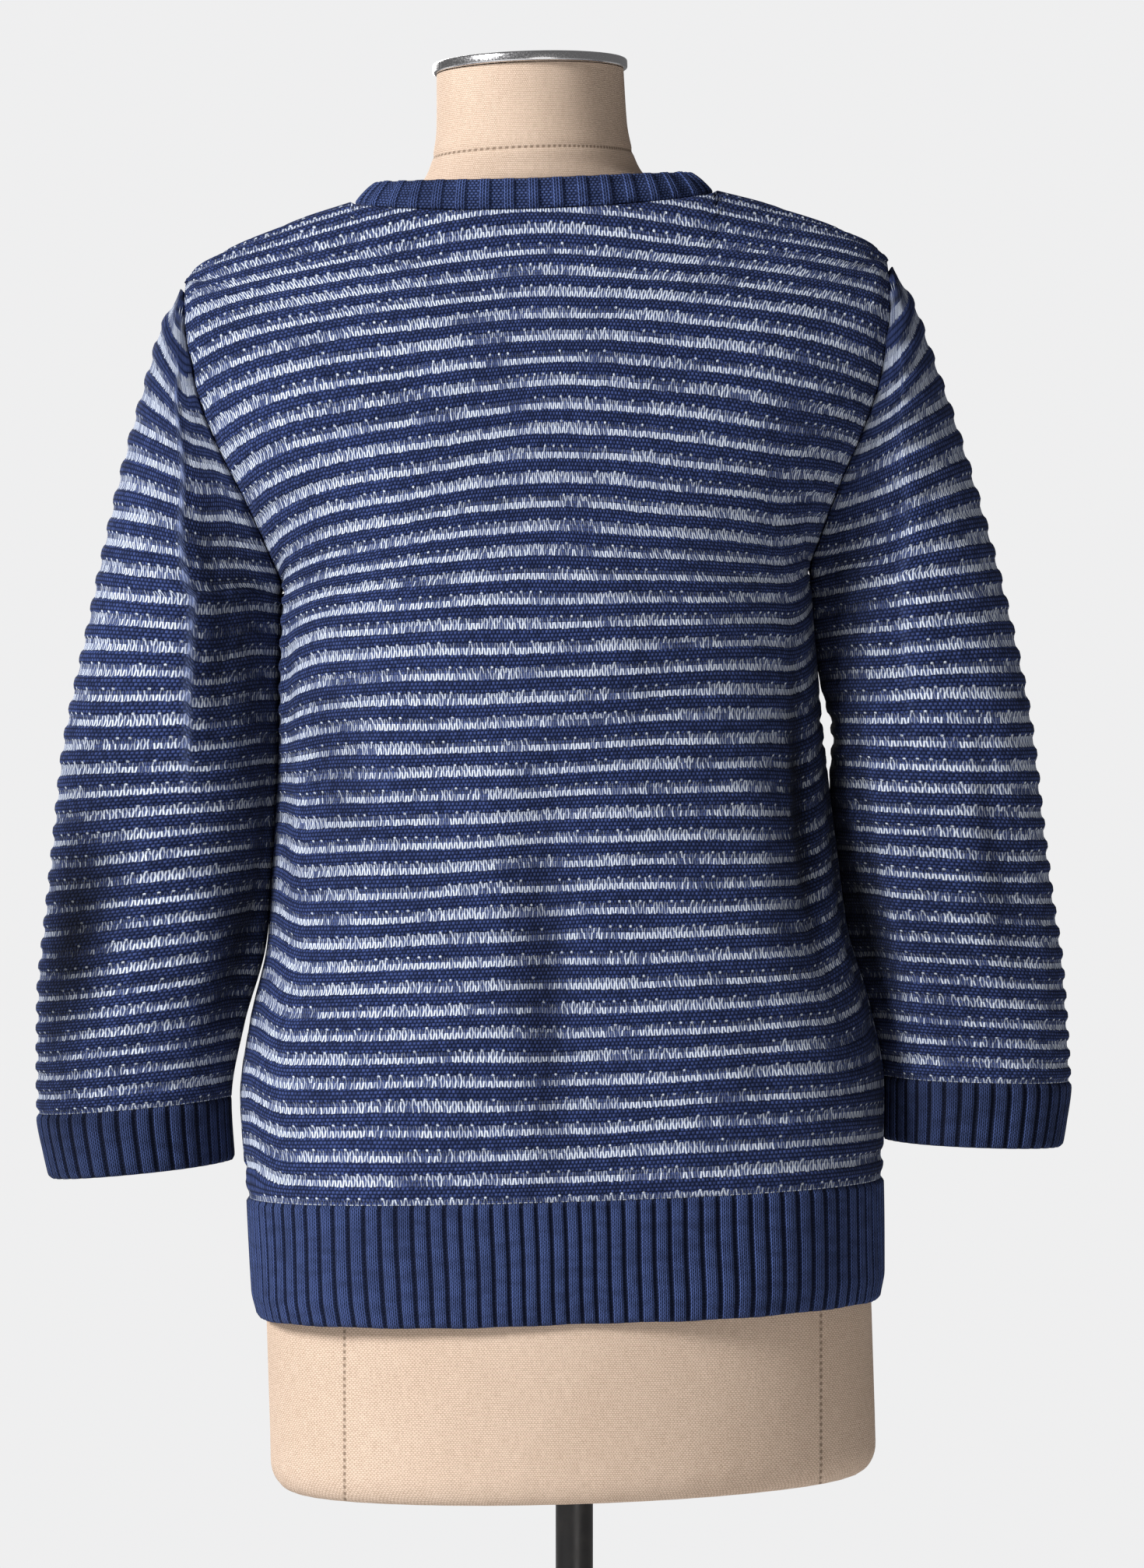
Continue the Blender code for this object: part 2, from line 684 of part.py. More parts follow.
def make_form(cover, chrome):
    """The linen-covered torso, smooth and whole, and the metal cap on its neck."""
    rings = []
    for z, size in FORM_BOTTOM:
        rings.append(form_ring(z) * np.array([size, size, 1.0]))
    for z in FORM_LEVELS:
        rings.append(form_ring(z))
    ring_solid("form_body", cover, [lean(r) for r in rings])
    bottom = FORM_NECK_TOP_Z + GAP
    bevel = 0.0008
    cap = [
        circle(CAP_RADIUS - bevel, bottom, STAND_SIDES),
        circle(CAP_RADIUS, bottom + bevel, STAND_SIDES),
        circle(CAP_RADIUS, CAP_TOP_Z - bevel, STAND_SIDES),
        circle(CAP_RADIUS - bevel, CAP_TOP_Z, STAND_SIDES),
    ]
    ring_solid("neck_cap", chrome, [lean(r) for r in cap])


def corner_place(side):
    """The place across a panel of the column that ends at the neck's corner."""
    places = np.linspace(0.05, 0.95, 400)
    x = np.array([panel_points(side, p, np.array([TIP_Z]))[0, 0] for p in places])
    return float(np.interp(NECK_HALF_WIDTH, x, places))


def panel_places(side):
    """The columns of half a panel, with one at the neck's corner and a narrow last one."""
    corner = corner_place(side)
    if side > 0:
        within = corner * np.array([0.0, 0.40, 0.73, 0.927, 1.0])
    else:
        within = corner * np.array([0.0, 0.33, 0.62, 0.86, 0.97, 1.0])
    beyond = corner + (1 - corner) * np.array([0.35, 0.69])
    return np.concatenate([within, beyond, [1 - 0.0012]])


def make_body(knit):
    """The back panel and the two front panels; returns the neckline's points and normals."""
    half = panel_places(1)
    places = np.concatenate([-half[:0:-1], half])
    outer, inner, tops = panel_grid(1, places, BACK_FOLDS)
    wall_solid("back", knit, outer, inner, places, places)
    corner = corner_place(1)
    back_neck = [t for p, t in zip(places, tops) if abs(p) <= corner + 1e-6]
    necks = {}
    for hand, name in ((1.0, "front_left"), (-1.0, "front_right")):
        places = panel_places(-1)
        signed = hand * places
        signed[0] = hand * 1e-9
        outer, inner, tops = panel_grid(-1, signed, fold_mirror(FRONT_FOLDS, hand))
        wall_solid(name, knit, outer, inner, places, places)
        corner_front = corner_place(-1)
        necks[name] = [t for p, t in zip(places, tops) if p <= corner_front + 1e-6]
    return necks["front_right"][:-1] + back_neck + necks["front_left"][:-1][::-1]


def fold_mirror(folds, hand):
    """Folds with their places on the given side."""
    turned = dict(folds)
    turned["place"] = folds["place"] * hand
    return turned


def make_sleeves(knit):
    """The two sleeves: closed rings up to the underarm, and arcs from armhole to armhole above."""
    weld = float(along(SLEEVE_EDGE, "course", UNDERARM_Z))
    places = np.linspace(-1, 1, 13)
    cap = [33.2, 33.36, SLEEVE_LAST_COURSE]
    rows = np.arange(0, 33.1, 0.5)
    rows = np.sort(np.append(rows[np.abs(rows - weld) > 0.15], [weld] + cap))
    low = np.append(np.arange(0, 22, 2), [22, 23])
    high = np.append(np.arange(24, 34), cap)
    high = np.sort(np.append(high[high <= SLEEVE_LAST_COURSE], 32.5))
    coarse = np.concatenate([low, [weld], high])
    coarse = coarse[(np.abs(coarse - weld) > 0.15) | (coarse == weld)]
    ridge = RIDGE_HEIGHT * np.sin(math.pi * rows) ** 2
    ridge[rows > 33] = 0.0
    outer = []
    inner = []
    for place in places:
        outer.append((rows, sleeve_column(place, sleeve_z(rows, place), ridge, SLEEVE_FOLDS)[1]))
        plain = np.zeros(len(coarse))
        inner.append((coarse, sleeve_column(place, sleeve_z(coarse, place), plain, SLEEVE_FOLDS)[0]))
    wall_solid("sleeve_left", knit, outer, inner, places, places, weld)
    wall_solid("sleeve_right", knit, mirrored(outer), mirrored(inner), places, places, weld)


def make_cuffs(rib):
    """The ribbed cuffs, closed rings below the sleeves."""
    fine = np.linspace(-1, 1, 2 * CUFF_RIBS + 1)
    coarse = np.linspace(-1, 1, 19)
    drops = np.array([SEAM_GAP, 0.4 * CUFF_HEIGHT, CUFF_HEIGHT])
    levels = -drops[::-1]
    outer = []
    inner = []
    for k, place in enumerate(fine):
        z = cuff_z(place, levels)
        ridge = RIB_HEIGHT * (k % 2) + np.zeros(len(levels))
        outer.append((levels, sleeve_column(place, z, ridge, SLEEVE_FOLDS)[1]))
    for place in coarse:
        z = cuff_z(place, levels[[0, -1]])
        inner.append((levels[[0, -1]], sleeve_column(place, z, np.zeros(2), SLEEVE_FOLDS)[0]))
    wall_solid("cuff_left", rib, outer, inner, fine, coarse, 0.0)
    wall_solid("cuff_right", rib, mirrored(outer), mirrored(inner), fine, coarse, 0.0)


def cuff_z(place, drop):
    """Heights of the cuff's levels, each measured down from the sleeve's last course."""
    share = math.sin(math.pi * abs(place) / 2) ** 2
    return CUFF_TOP_OUTER_Z + (CUFF_TOP_INNER_Z - CUFF_TOP_OUTER_Z) * share + drop


def hem_column(side, place, z, ridge):
    """Inner and outer points of one column of the hem rib."""
    inner = panel_points(side, place, z)
    normal = body_normals(inner, side)
    inner = inner + normal * overlap_lift(side, inner[:, 0])[:, None]
    return inner, inner + normal * (WALL + ridge)


def make_hem(rib):
    """The hem's rib in three pieces, each rib a raised column."""
    z = np.array([HEM_Z, RIB_TOP_Z - SEAM_GAP])
    pieces = (
        ("hem_rib_back", 1, -1.0, 1.0, 2 * HEM_RIBS_BACK + 1, 29),
        ("hem_rib_front_left", -1, 0.0, 1.0, 2 * HEM_RIBS_FRONT + 1, 15),
        ("hem_rib_front_right", -1, 0.0, -1.0, 2 * HEM_RIBS_FRONT + 1, 15),
    )
    for name, side, first, last, count, plain_count in pieces:
        end = 1 - 0.0012
        fine = np.clip(np.linspace(first, last, count), -end, end)
        coarse = np.clip(np.linspace(first, last, plain_count), -end, end)
        if last < 0:
            fine[0] = -1e-9
            coarse[0] = -1e-9
        outer = []
        inner = []
        for k, place in enumerate(fine):
            outer.append((z, hem_column(side, place, z, RIB_HEIGHT * (k % 2))[1]))
        for place in coarse:
            inner.append((z, hem_column(side, place, z, 0.0)[0]))
        order = np.linspace(0, 1, count)
        wall_solid(name, rib, outer, inner, order, np.linspace(0, 1, plain_count))


def neckband_frames(neck, ribs_pitch):
    """Points along the neckline, where the band starts, with its evened upward and outward ways.

    The band runs on from the panel's surface, lifted off it a little; its ends stand upright
    beside the front bands.
    """
    base = np.array([point for point, normal in neck])
    seat = np.array([normal for point, normal in neck])
    run = np.concatenate([[0], np.cumsum(np.linalg.norm(np.diff(base, axis=0), axis=1))])
    ribs = int(round(run[-1] / ribs_pitch))
    s = np.linspace(0, run[-1], 2 * ribs + 1)
    at = np.stack([np.interp(s, run, base[:, i]) for i in range(3)], axis=1)
    body = unit(np.stack([np.interp(s, run, seat[:, i]) for i in range(3)], axis=1))
    tangent = unit(np.gradient(at, axis=0))
    sideways = np.ones_like(at)
    sideways[:, 0] = smoothstep(0.0, BAND_END_LENGTH, np.minimum(s, run[-1] - s))
    inward = np.cross(body, tangent) * sideways
    inward = unit(inward * np.sign(inward[:, 2:]))
    bearing = np.degrees(np.arctan2(np.abs(at[:, 0]), at[:, 1]))
    lift = np.radians(np.interp(bearing, [0, 90, 180], NECKBAND_LIFTS))[:, None]
    up = np.cos(lift) * inward + np.sin(lift) * body
    for _ in range(EVENING_PASSES):
        up[1:-1] = (up[:-2] + 2 * up[1:-1] + up[2:]) / 4
    up = unit(up)
    out = unit(body - up * (body * up).sum(axis=1, keepdims=True))
    across = np.cross(body + out, tangent)
    across = unit(across * np.sign(across[:, 2:])) * sideways
    inset = ((body - out) * across).sum(axis=1, keepdims=True)
    start = at + across * (NECKBAND_GAP + WALL * np.maximum(inset, 0.0))
    return s, start, up, out


def make_neckband(rib, neck):
    """The ribbed neckband, standing on the neckline from one front band to the other."""
    s, start, up, out = neckband_frames(neck, NECKBAND_RIB_PITCH)
    levels = np.array([0.0, 0.5, 1.0])
    ends = levels[[0, -1]]
    outer = []
    inner = []
    for k in range(len(s)):
        side = start[k] + np.outer(levels * NECKBAND_HEIGHT, up[k])
        outer.append((levels, side + out[k] * (WALL + RIB_HEIGHT * (k % 2))))
        if k % 2 == 0:
            inner.append((ends, side[[0, -1]]))
    wall_solid("neckband", rib, outer, inner, s, s[::2])


def band_path():
    """The front bands' middle line and its normals, from the hem to the neckband's top."""
    z = np.append(np.linspace(HEM_Z, NECK_FRONT_Z, 15), NECK_FRONT_Z)
    depth = along(BODY, "front", z)
    line = np.stack([0 * z, -depth, z], axis=-1)
    body = body_normals(line[-1], -1)
    up = np.array([0.0, -body[2], body[1]]) * -1
    lift = math.radians(NECKBAND_LIFTS[-1])
    line[-1] += (math.cos(lift) * up + math.sin(lift) * body) * NECKBAND_HEIGHT
    slope = np.gradient(line, axis=0)
    normal = unit(np.stack([0 * z, -slope[:, 2], slope[:, 1]], axis=-1))
    return line, normal


def make_bands(rib):
    """The two front bands, the wearer's right over the left."""
    line, normal = band_path()
    levels = np.arange(len(line), dtype=float)
    for name, lift, count in (("band_left", 0.0, 3), ("band_right", OVERLAP_LIFT, 2 * BAND_RIBS + 1)):
        across = np.linspace(-BAND_HALF_WIDTH, BAND_HALF_WIDTH, count)
        plain = np.array([-BAND_HALF_WIDTH, 0.0, BAND_HALF_WIDTH])
        outer = []
        inner = []
        for k, x in enumerate(across):
            start = line + np.array([x, 0.0, 0.0]) + normal * lift
            ridge = RIB_HEIGHT * (k % 2) if lift > 0 else 0.0
            outer.append((levels, start + normal * (WALL + ridge)))
        for x in plain:
            inner.append((levels, line + np.array([x, 0.0, 0.0]) + normal * lift))
        wall_solid(name, rib, outer, inner, across, plain)


def make_buttons(finish):
    """The buttons, flat on the right band and evenly spaced down it."""
    line, normal = band_path()
    turn = np.linspace(0, 2 * math.pi, BUTTON_SIDES, endpoint=False)
    seat = OVERLAP_LIFT + WALL + RIB_HEIGHT + GAP
    for k, z in enumerate(np.linspace(HEM_Z + 0.020, NECK_FRONT_Z - 0.018, BUTTON_COUNT)):
        y = np.interp(z, line[:, 2], line[:, 1])
        face = unit(np.array([np.interp(z, line[:, 2], normal[:, i]) for i in range(3)]))
        up = np.cross(face, np.array([1.0, 0.0, 0.0]))
        around = np.outer(np.cos(turn), np.array([1.0, 0.0, 0.0])) + np.outer(np.sin(turn), up)
        rings = []
        for radius, height in BUTTON_PROFILE:
            middle = np.array([0.0, y, z]) + face * (seat + BUTTON_THICKNESS * height)
            rings.append(lean(middle + around * BUTTON_RADIUS * radius))
        ring_solid(f"button_{k + 1}", finish, rings)


def main():
    for thing in list(bpy.data.objects):
        bpy.data.objects.remove(thing, do_unlink=True)
    finishes = {name: finish_material(name) for name in FINISHES}
    make_stand(finishes["black_pole"])
    make_form(finishes["linen_cover"], finishes["chrome_cap"])
    neck = make_body(finishes["navy_knit"])
    make_sleeves(finishes["navy_knit"])
    make_cuffs(finishes["navy_rib"])
    make_hem(finishes["navy_rib"])
    make_neckband(finishes["navy_rib"], neck)
    make_bands(finishes["navy_rib"])
    make_buttons(finishes["navy_button"])


main()
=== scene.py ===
# %% [markdown]
# # A striped cardigan on a dress form
#
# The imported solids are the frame: they fix every size and place. This lesson dresses them.
# Each piece of knitting is a thin shell over its solid, with the knit's ridges, ribs and folds
# in its mesh and its stitches and colours in its material.

# %% Load the frame
import math

import bpy
import numpy as np
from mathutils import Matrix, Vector


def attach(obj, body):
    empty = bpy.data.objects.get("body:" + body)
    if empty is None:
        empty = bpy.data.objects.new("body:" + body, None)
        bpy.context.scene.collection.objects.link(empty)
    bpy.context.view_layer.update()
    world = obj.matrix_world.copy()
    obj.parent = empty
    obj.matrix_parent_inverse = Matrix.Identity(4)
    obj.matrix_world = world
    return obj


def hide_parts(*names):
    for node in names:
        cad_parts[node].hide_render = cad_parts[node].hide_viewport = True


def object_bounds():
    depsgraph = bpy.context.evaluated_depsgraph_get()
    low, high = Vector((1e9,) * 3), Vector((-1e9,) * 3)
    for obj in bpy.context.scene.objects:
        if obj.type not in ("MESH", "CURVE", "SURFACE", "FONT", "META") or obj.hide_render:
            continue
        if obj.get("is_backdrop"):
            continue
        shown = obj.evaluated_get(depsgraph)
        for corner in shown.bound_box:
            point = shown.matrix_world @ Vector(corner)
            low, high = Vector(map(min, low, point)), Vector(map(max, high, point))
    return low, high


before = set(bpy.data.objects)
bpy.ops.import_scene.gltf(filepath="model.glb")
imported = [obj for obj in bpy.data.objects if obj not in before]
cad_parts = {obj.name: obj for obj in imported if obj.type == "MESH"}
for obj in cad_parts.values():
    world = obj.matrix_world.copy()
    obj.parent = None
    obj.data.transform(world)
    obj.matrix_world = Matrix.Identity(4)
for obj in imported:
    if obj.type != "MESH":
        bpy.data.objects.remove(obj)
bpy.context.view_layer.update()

# %% [markdown]
# ## The sizes that everything follows
#
# A garment is described by levels (hem, underarm, shoulder tip, neck) and by a few sections. The
# values below are the ones that the solids were made from, in metres, so that each shell lies on
# its solid; only the hem's ribs are counted anew, from the photograph. A shape read from a
# short table on a smooth curve is easy to correct: change one row and the whole surface follows.

# %% Driving sizes
LEAN_DEG = 1.8
FORM_BOTTOM_Z = 0.600
FORM_NECK_TOP_Z = 1.4140
CAP_TOP_Z = 1.4200
CAP_RADIUS = 0.0563
POLE_RADIUS = 0.0108
BASE_RADIUS = 0.190
BASE_THICKNESS = 0.014
BASE_EDGE_RADIUS = 0.006
HUB_RADIUS = 0.022
HUB_HEIGHT = 0.045

WALL = 0.0024
SEAM_WALL = 0.0018
RIDGE_HEIGHT = 0.0013
RIB_HEIGHT = 0.0013
SEAM_GAP = 0.0005
TIP_EASE = 0.0012
GAP = 0.0003
COURSE_PITCH = 0.0135
ROW_PITCH = 0.0021

# Levels of the cardigan
HEM_Z = 0.702
RIB_TOP_Z = 0.771
UNDERARM_Z = 1.118
TIP_Z = 1.297
NECK_SIDE_Z = 1.3388
NECK_BACK_Z = 1.3285
NECK_FRONT_Z = 1.262
NECK_HALF_WIDTH = 0.103
ARMHOLE_HALF_DEPTH = 0.049
SEAM_SHIFT_DEG = 11.0

# Trims
BAND_HALF_WIDTH = 0.0140
FRONT_EDGE_X = BAND_HALF_WIDTH + SEAM_GAP
NECKBAND_RIB_PITCH = 0.0140
BAND_RIBS = 3
OVERLAP_LIFT = 0.0026
HEM_RIBS_BACK = 50
HEM_RIBS_FRONT = 24
CUFF_RIBS = 36
CUFF_HEIGHT = 0.037
NECKBAND_HEIGHT = 0.021
NECKBAND_LIFTS = (12.0, 25.0, 12.0)
NECKBAND_GAP = 0.0010
BAND_END_LENGTH = 0.030
EVENING_PASSES = 12
BUTTON_RADIUS = 0.0065
BUTTON_THICKNESS = 0.0026
BUTTON_COUNT = 7

# Rows and columns of points in the fine grids. A tube's rows divide by four, as its lining's do.
PANEL_ROWS = 337
BACK_COLUMNS = 201
FRONT_COLUMNS = 101
SLEEVE_COLUMNS = 161
SLEEVE_TUBE_ROWS = 192
SLEEVE_ARC_ROWS = 80
CUFF_ROWS = 20
EASING_PASSES = 260

# The height at which the gap between the right sleeve and the body opens
OPENING_Z = 1.029

# Sleeve courses
SLEEVE_LAST_COURSE = 33.5
CUFF_TOP_OUTER_Z = 0.823
CUFF_TOP_INNER_Z = 0.829

# %% [markdown]
# ## Sections as short tables
#
# The body of the cardigan is a stack of ovals: for each height, half its width, its depth
# behind and in front, and how square it is. A sleeve has its outermost line and its depth. The
# folds are listed too, each with its own place, width, length and depth.

# %% Sections and folds
def table(names, rows):
    """A short table: each name gives its column as an array."""
    values = np.array(rows, dtype=float)
    return {name: values[:, i] for i, name in enumerate(names.split())}


# Inner surface of the cardigan's body by height. "edge" is the half width below the arms, the
# armhole's half width above them, and the shoulder line's above the tip.
BODY = table(
    "z edge back front power",
    [
        (0.590, 0.1785, 0.112, 0.118, 2.4),
        (0.700, 0.1790, 0.113, 0.121, 2.4),
        (0.771, 0.1800, 0.113, 0.122, 2.4),
        (0.826, 0.1820, 0.110, 0.121, 2.4),
        (0.871, 0.1750, 0.106, 0.120, 2.35),
        (0.916, 0.1635, 0.102, 0.120, 2.3),
        (0.961, 0.1590, 0.099, 0.121, 2.3),
        (1.006, 0.1550, 0.099, 0.124, 2.25),
        (1.060, 0.1515, 0.102, 0.127, 2.2),
        (1.118, 0.1490, 0.105, 0.125, 2.2),
        (1.140, 0.1560, 0.1055, 0.123, 2.15),
        (1.170, 0.1680, 0.1045, 0.118, 2.1),
        (1.200, 0.1820, 0.102, 0.110, 2.1),
        (1.230, 0.1930, 0.0975, 0.100, 2.05),
        (1.268, 0.2000, 0.0875, 0.085, 2.0),
        (1.285, 0.2010, 0.0810, 0.077, 2.0),
        (1.297, 0.2010, 0.0755, 0.071, 2.0),
        (1.3032, 0.1955, 0.0725, 0.068, 2.0),
        (1.3112, 0.1820, 0.0690, 0.064, 2.0),
        (1.3183, 0.1655, 0.0660, 0.061, 2.0),
        (1.3298, 0.1340, 0.0610, 0.056, 2.0),
        (1.3388, 0.1030, 0.0570, 0.052, 2.0),
        (1.3450, 0.0850, 0.0550, 0.050, 2.0),
    ],
)

# How far the form's surface lies inside the cardigan's inner surface
FORM_EASE = table(
    "z side back front",
    [
        (0.600, 0.0035, 0.0035, 0.0035),
        (0.700, 0.0040, 0.0040, 0.0040),
        (0.771, 0.0055, 0.0050, 0.0050),
        (0.826, 0.0150, 0.0100, 0.0100),
        (0.871, 0.0300, 0.0220, 0.0220),
        (0.940, 0.0330, 0.0300, 0.0300),
        (1.060, 0.0150, 0.0120, 0.0120),
        (1.118, 0.0060, 0.0045, 0.0045),
        (1.170, 0.0110, 0.0011, 0.0024),
        (1.200, 0.0120, 0.0004, 0.0026),
        (1.230, 0.0120, 0.0012, 0.0032),
        (1.268, 0.0105, 0.0048, 0.0056),
        (1.297, 0.0095, 0.0052, 0.0080),
        (1.3330, 0.0090, 0.0052, 0.0090),
    ],
)

# The form's neck above the shoulders
FORM_NECK = table(
    "z side back front",
    [
        (1.3330, 0.1145, 0.0543, 0.0455),
        (1.3400, 0.0885, 0.0528, 0.0460),
        (1.3470, 0.0725, 0.0525, 0.0475),
        (1.3550, 0.0625, 0.0525, 0.0495),
        (1.3660, 0.0580, 0.0540, 0.0530),
        (1.3840, 0.0550, 0.0530, 0.0525),
        (1.4140, 0.0540, 0.0525, 0.0520),
    ],
)

# The sleeve's inner surface: its outermost line and its half depth
SLEEVE = table(
    "z outer depth",
    [
        (0.780, 0.2880, 0.0430),
        (0.800, 0.2920, 0.0430),
        (0.823, 0.2950, 0.0440),
        (0.889, 0.2930, 0.0460),
        (0.934, 0.2873, 0.0470),
        (0.979, 0.2811, 0.0480),
        (1.024, 0.2752, 0.0490),
        (1.069, 0.2678, 0.0500),
        (1.114, 0.2590, 0.05047),
        (1.159, 0.2484, 0.05047),
        (1.204, 0.2363, 0.05047),
        (1.249, 0.2221, 0.05047),
        (1.280, 0.2125, 0.05047),
        (1.297, 0.2072, 0.05047),
    ],
)

# Where a sleeve course meets the inner line or the armhole, and that place's height
SLEEVE_EDGE = table(
    "z course",
    [
        (0.829, 0.0),
        (1.118, 23.8),
        (1.1434, 25.9),
        (1.1807, 28.4),
        (1.2073, 30.4),
        (1.2240, 31.5),
        (1.2620, 33.0),
        (1.2966, 33.6),
    ],
)

# Large soft folds. "place" is the fraction across the panel or round the sleeve, negative
# towards the wearer's right or the front; depth is inwards, and negative outwards.
FOLD_NAMES = "place width top bottom depth"
BACK_FOLDS = table(
    FOLD_NAMES,
    [
        (-0.72, 0.16, 1.090, 0.860, 0.0060),
        (-0.86, 0.10, 0.980, 0.800, -0.0030),
        (0.05, 0.14, 1.060, 0.760, 0.0042),
        (0.62, 0.18, 1.120, 0.900, 0.0035),
    ],
)
SLEEVE_FOLDS = table(
    FOLD_NAMES,
    [
        (0.70, 0.26, 1.240, 1.000, 0.0070),
        (0.30, 0.18, 1.020, 0.840, 0.0045),
        (-0.45, 0.22, 1.180, 0.900, 0.0060),
        (0.80, 0.16, 0.980, 0.840, 0.0055),
    ],
)
FRONT_FOLDS = table(
    FOLD_NAMES,
    [
        (0.35, 0.22, 1.060, 0.840, 0.0050),
        (0.75, 0.20, 1.040, 0.820, 0.0040),
    ],
)
BACK_FINE_FOLDS = table(
    FOLD_NAMES,
    [
        (-0.765, 0.050, 1.100, 0.850, 0.0022),
        (-0.700, 0.040, 1.060, 0.900, -0.0016),
        (-0.93, 0.050, 1.050, 0.820, 0.0018),
        (-0.30, 0.120, 1.180, 0.960, 0.0012),
        (0.90, 0.045, 1.150, 0.990, -0.0022),
        (0.84, 0.070, 1.130, 0.900, 0.0018),
        (0.40, 0.140, 1.080, 0.860, 0.0010),
        (0.30, 0.090, 0.900, 0.780, -0.0010),
        (-0.10, 0.100, 0.900, 0.775, 0.0012),
        (-0.52, 0.080, 0.905, 0.780, 0.0010),
    ],
)
SLEEVE_FINE_FOLDS = table(
    FOLD_NAMES,
    [
        (0.64, 0.080, 1.200, 0.980, 0.0022),
        (0.40, 0.060, 1.060, 0.900, 0.0014),
        (0.18, 0.090, 0.960, 0.830, 0.0012),
        (0.86, 0.060, 1.080, 0.880, 0.0020),
        (-0.30, 0.070, 1.100, 0.900, 0.0016),
        (-0.62, 0.080, 1.190, 1.000, 0.0022),
        (-0.80, 0.060, 1.000, 0.850, 0.0016),
    ],
)
FRONT_FINE_FOLDS = table(
    FOLD_NAMES,
    [
        (0.55, 0.080, 1.120, 0.900, 0.0016),
        (0.90, 0.050, 1.120, 0.930, 0.0020),
        (0.20, 0.090, 0.930, 0.780, 0.0012),
        (0.66, 0.060, 1.240, 1.150, 0.0012),
    ],
)

# Painted shade: the hollows that little light reaches, beside the sleeves and in the deep folds,
# are darkened in the yarn's colour, and here depth is how much. The stretched places, where it
# lightens, are listed the same way.
BACK_SHADES = table(
    FOLD_NAMES,
    [
        (-0.97, 0.27, 1.200, 0.760, 0.72),
        (-0.735, 0.08, 1.150, 0.860, 0.40),
        (-0.97, 0.42, 0.930, 0.700, 0.40),
        (1.00, 0.12, 1.150, 0.820, 0.35),
        (0.04, 0.095, 1.010, 0.700, 0.26),
    ],
)
FRONT_SHADES = table(FOLD_NAMES, [(1.0, 0.20, 1.200, 0.800, 0.45)])
SLEEVE_SHADES = table(
    FOLD_NAMES,
    [
        (0.80, 0.26, 1.180, 0.760, 0.55),
        (0.20, 0.24, 1.100, 0.750, 0.68),
        (-0.85, 0.22, 1.150, 0.760, 0.40),
    ],
)
RIGHT_SHADES = table(
    FOLD_NAMES,
    [
        (0.96, 0.36, 1.240, 0.720, 0.92),
        (0.58, 0.20, 1.080, 0.740, 0.32),
        (-0.85, 0.22, 1.150, 0.760, 0.40),
    ],
)
STRETCHED_BACK = table(
    FOLD_NAMES,
    [
        (0.905, 0.022, 1.150, 1.000, 0.55),
        (0.52, 0.02, 1.10, 0.98, 0.05),
    ],
)
folds_behind = len(BACK_FOLDS["place"]) + len(BACK_FINE_FOLDS["place"])
print("body rows:", len(BODY["z"]), "folds on the back:", folds_behind)

# %% [markdown]
# ## Curves through the tables
#
# A smooth curve through a few rows must not overshoot them, or a sleeve would bulge between two
# measured heights. The curve below is a cubic whose slope at each row is the harmonic mean of
# the slopes beside it, and is flat where they disagree.

# %% Curves and the lean
def along(rows, name, at, key="z"):
    """A column read at any height, on a smooth curve that never overshoots its rows."""
    x = rows[key]
    y = rows[name]
    step = np.diff(x)
    rise = np.diff(y) / step
    slope = np.zeros_like(y)
    slope[0] = rise[0]
    slope[-1] = rise[-1]
    same = rise[:-1] * rise[1:] > 0
    total = rise[:-1] + rise[1:]
    slope[1:-1] = np.where(same, 2 * rise[:-1] * rise[1:] / np.where(same, total, 1.0), 0.0)
    at = np.clip(np.asarray(at, dtype=float), x[0], x[-1])
    i = np.clip(np.searchsorted(x, at) - 1, 0, len(x) - 2)
    h = step[i]
    t = (at - x[i]) / h
    start = (1 + 2 * t) * (1 - t) ** 2 * y[i] + t * (1 - t) ** 2 * h * slope[i]
    end = t**2 * (3 - 2 * t) * y[i + 1] + t**2 * (t - 1) * h * slope[i + 1]
    return start + end


def smoothstep(low, high, at):
    """0 at low, 1 at high, with soft ends."""
    t = np.clip((np.asarray(at, dtype=float) - low) / (high - low), 0.0, 1.0)
    return t * t * (3 - 2 * t)


def unit(vectors):
    """Vectors of length 1."""
    return vectors / np.maximum(np.linalg.norm(vectors, axis=-1, keepdims=True), 1e-12)


def lean(points):
    """Turns the form and the cardigan about the pole's top, towards +X."""
    angle = math.radians(LEAN_DEG)
    p = np.asarray(points, dtype=float)
    up = p[..., 2] - FORM_BOTTOM_Z
    x = p[..., 0] * math.cos(angle) + up * math.sin(angle)
    z = FORM_BOTTOM_Z - p[..., 0] * math.sin(angle) + up * math.cos(angle)
    return np.stack([x, p[..., 1], z], axis=-1)

# %% [markdown]
# ## The body's surface
#
# A cardigan's body hangs as a soft oval tube. Each panel's columns of stitches run up it at even
# spacing, so a point is found from three things: the side (1 behind, -1 in front), its place
# across the panel (0 in the middle or at the front edge, 1 or -1 at the side seam) and its
# height. Whole grids of places and heights go in at once, as arrays.

# %% The body's surface
def armhole_y(z):
    """Half the armhole's depth: an ellipse between the underarm and the shoulder's tip."""
    t = np.clip((np.asarray(z, dtype=float) - UNDERARM_Z) / (TIP_Z - UNDERARM_Z), 0.0, 1.0)
    return ARMHOLE_HALF_DEPTH * 2 * np.sqrt(t * (1 - t))


def half_sizes(side, z):
    """Half width, half depth and power of the oval |x/w|^p + |y/d|^p = 1 at a height."""
    depth = np.where(side > 0, along(BODY, "back", z), along(BODY, "front", z))
    power = along(BODY, "power", z)
    share = (armhole_y(z) / depth) ** power
    width = along(BODY, "edge", z) / (1 - share) ** (1 / power)
    return width, depth, power


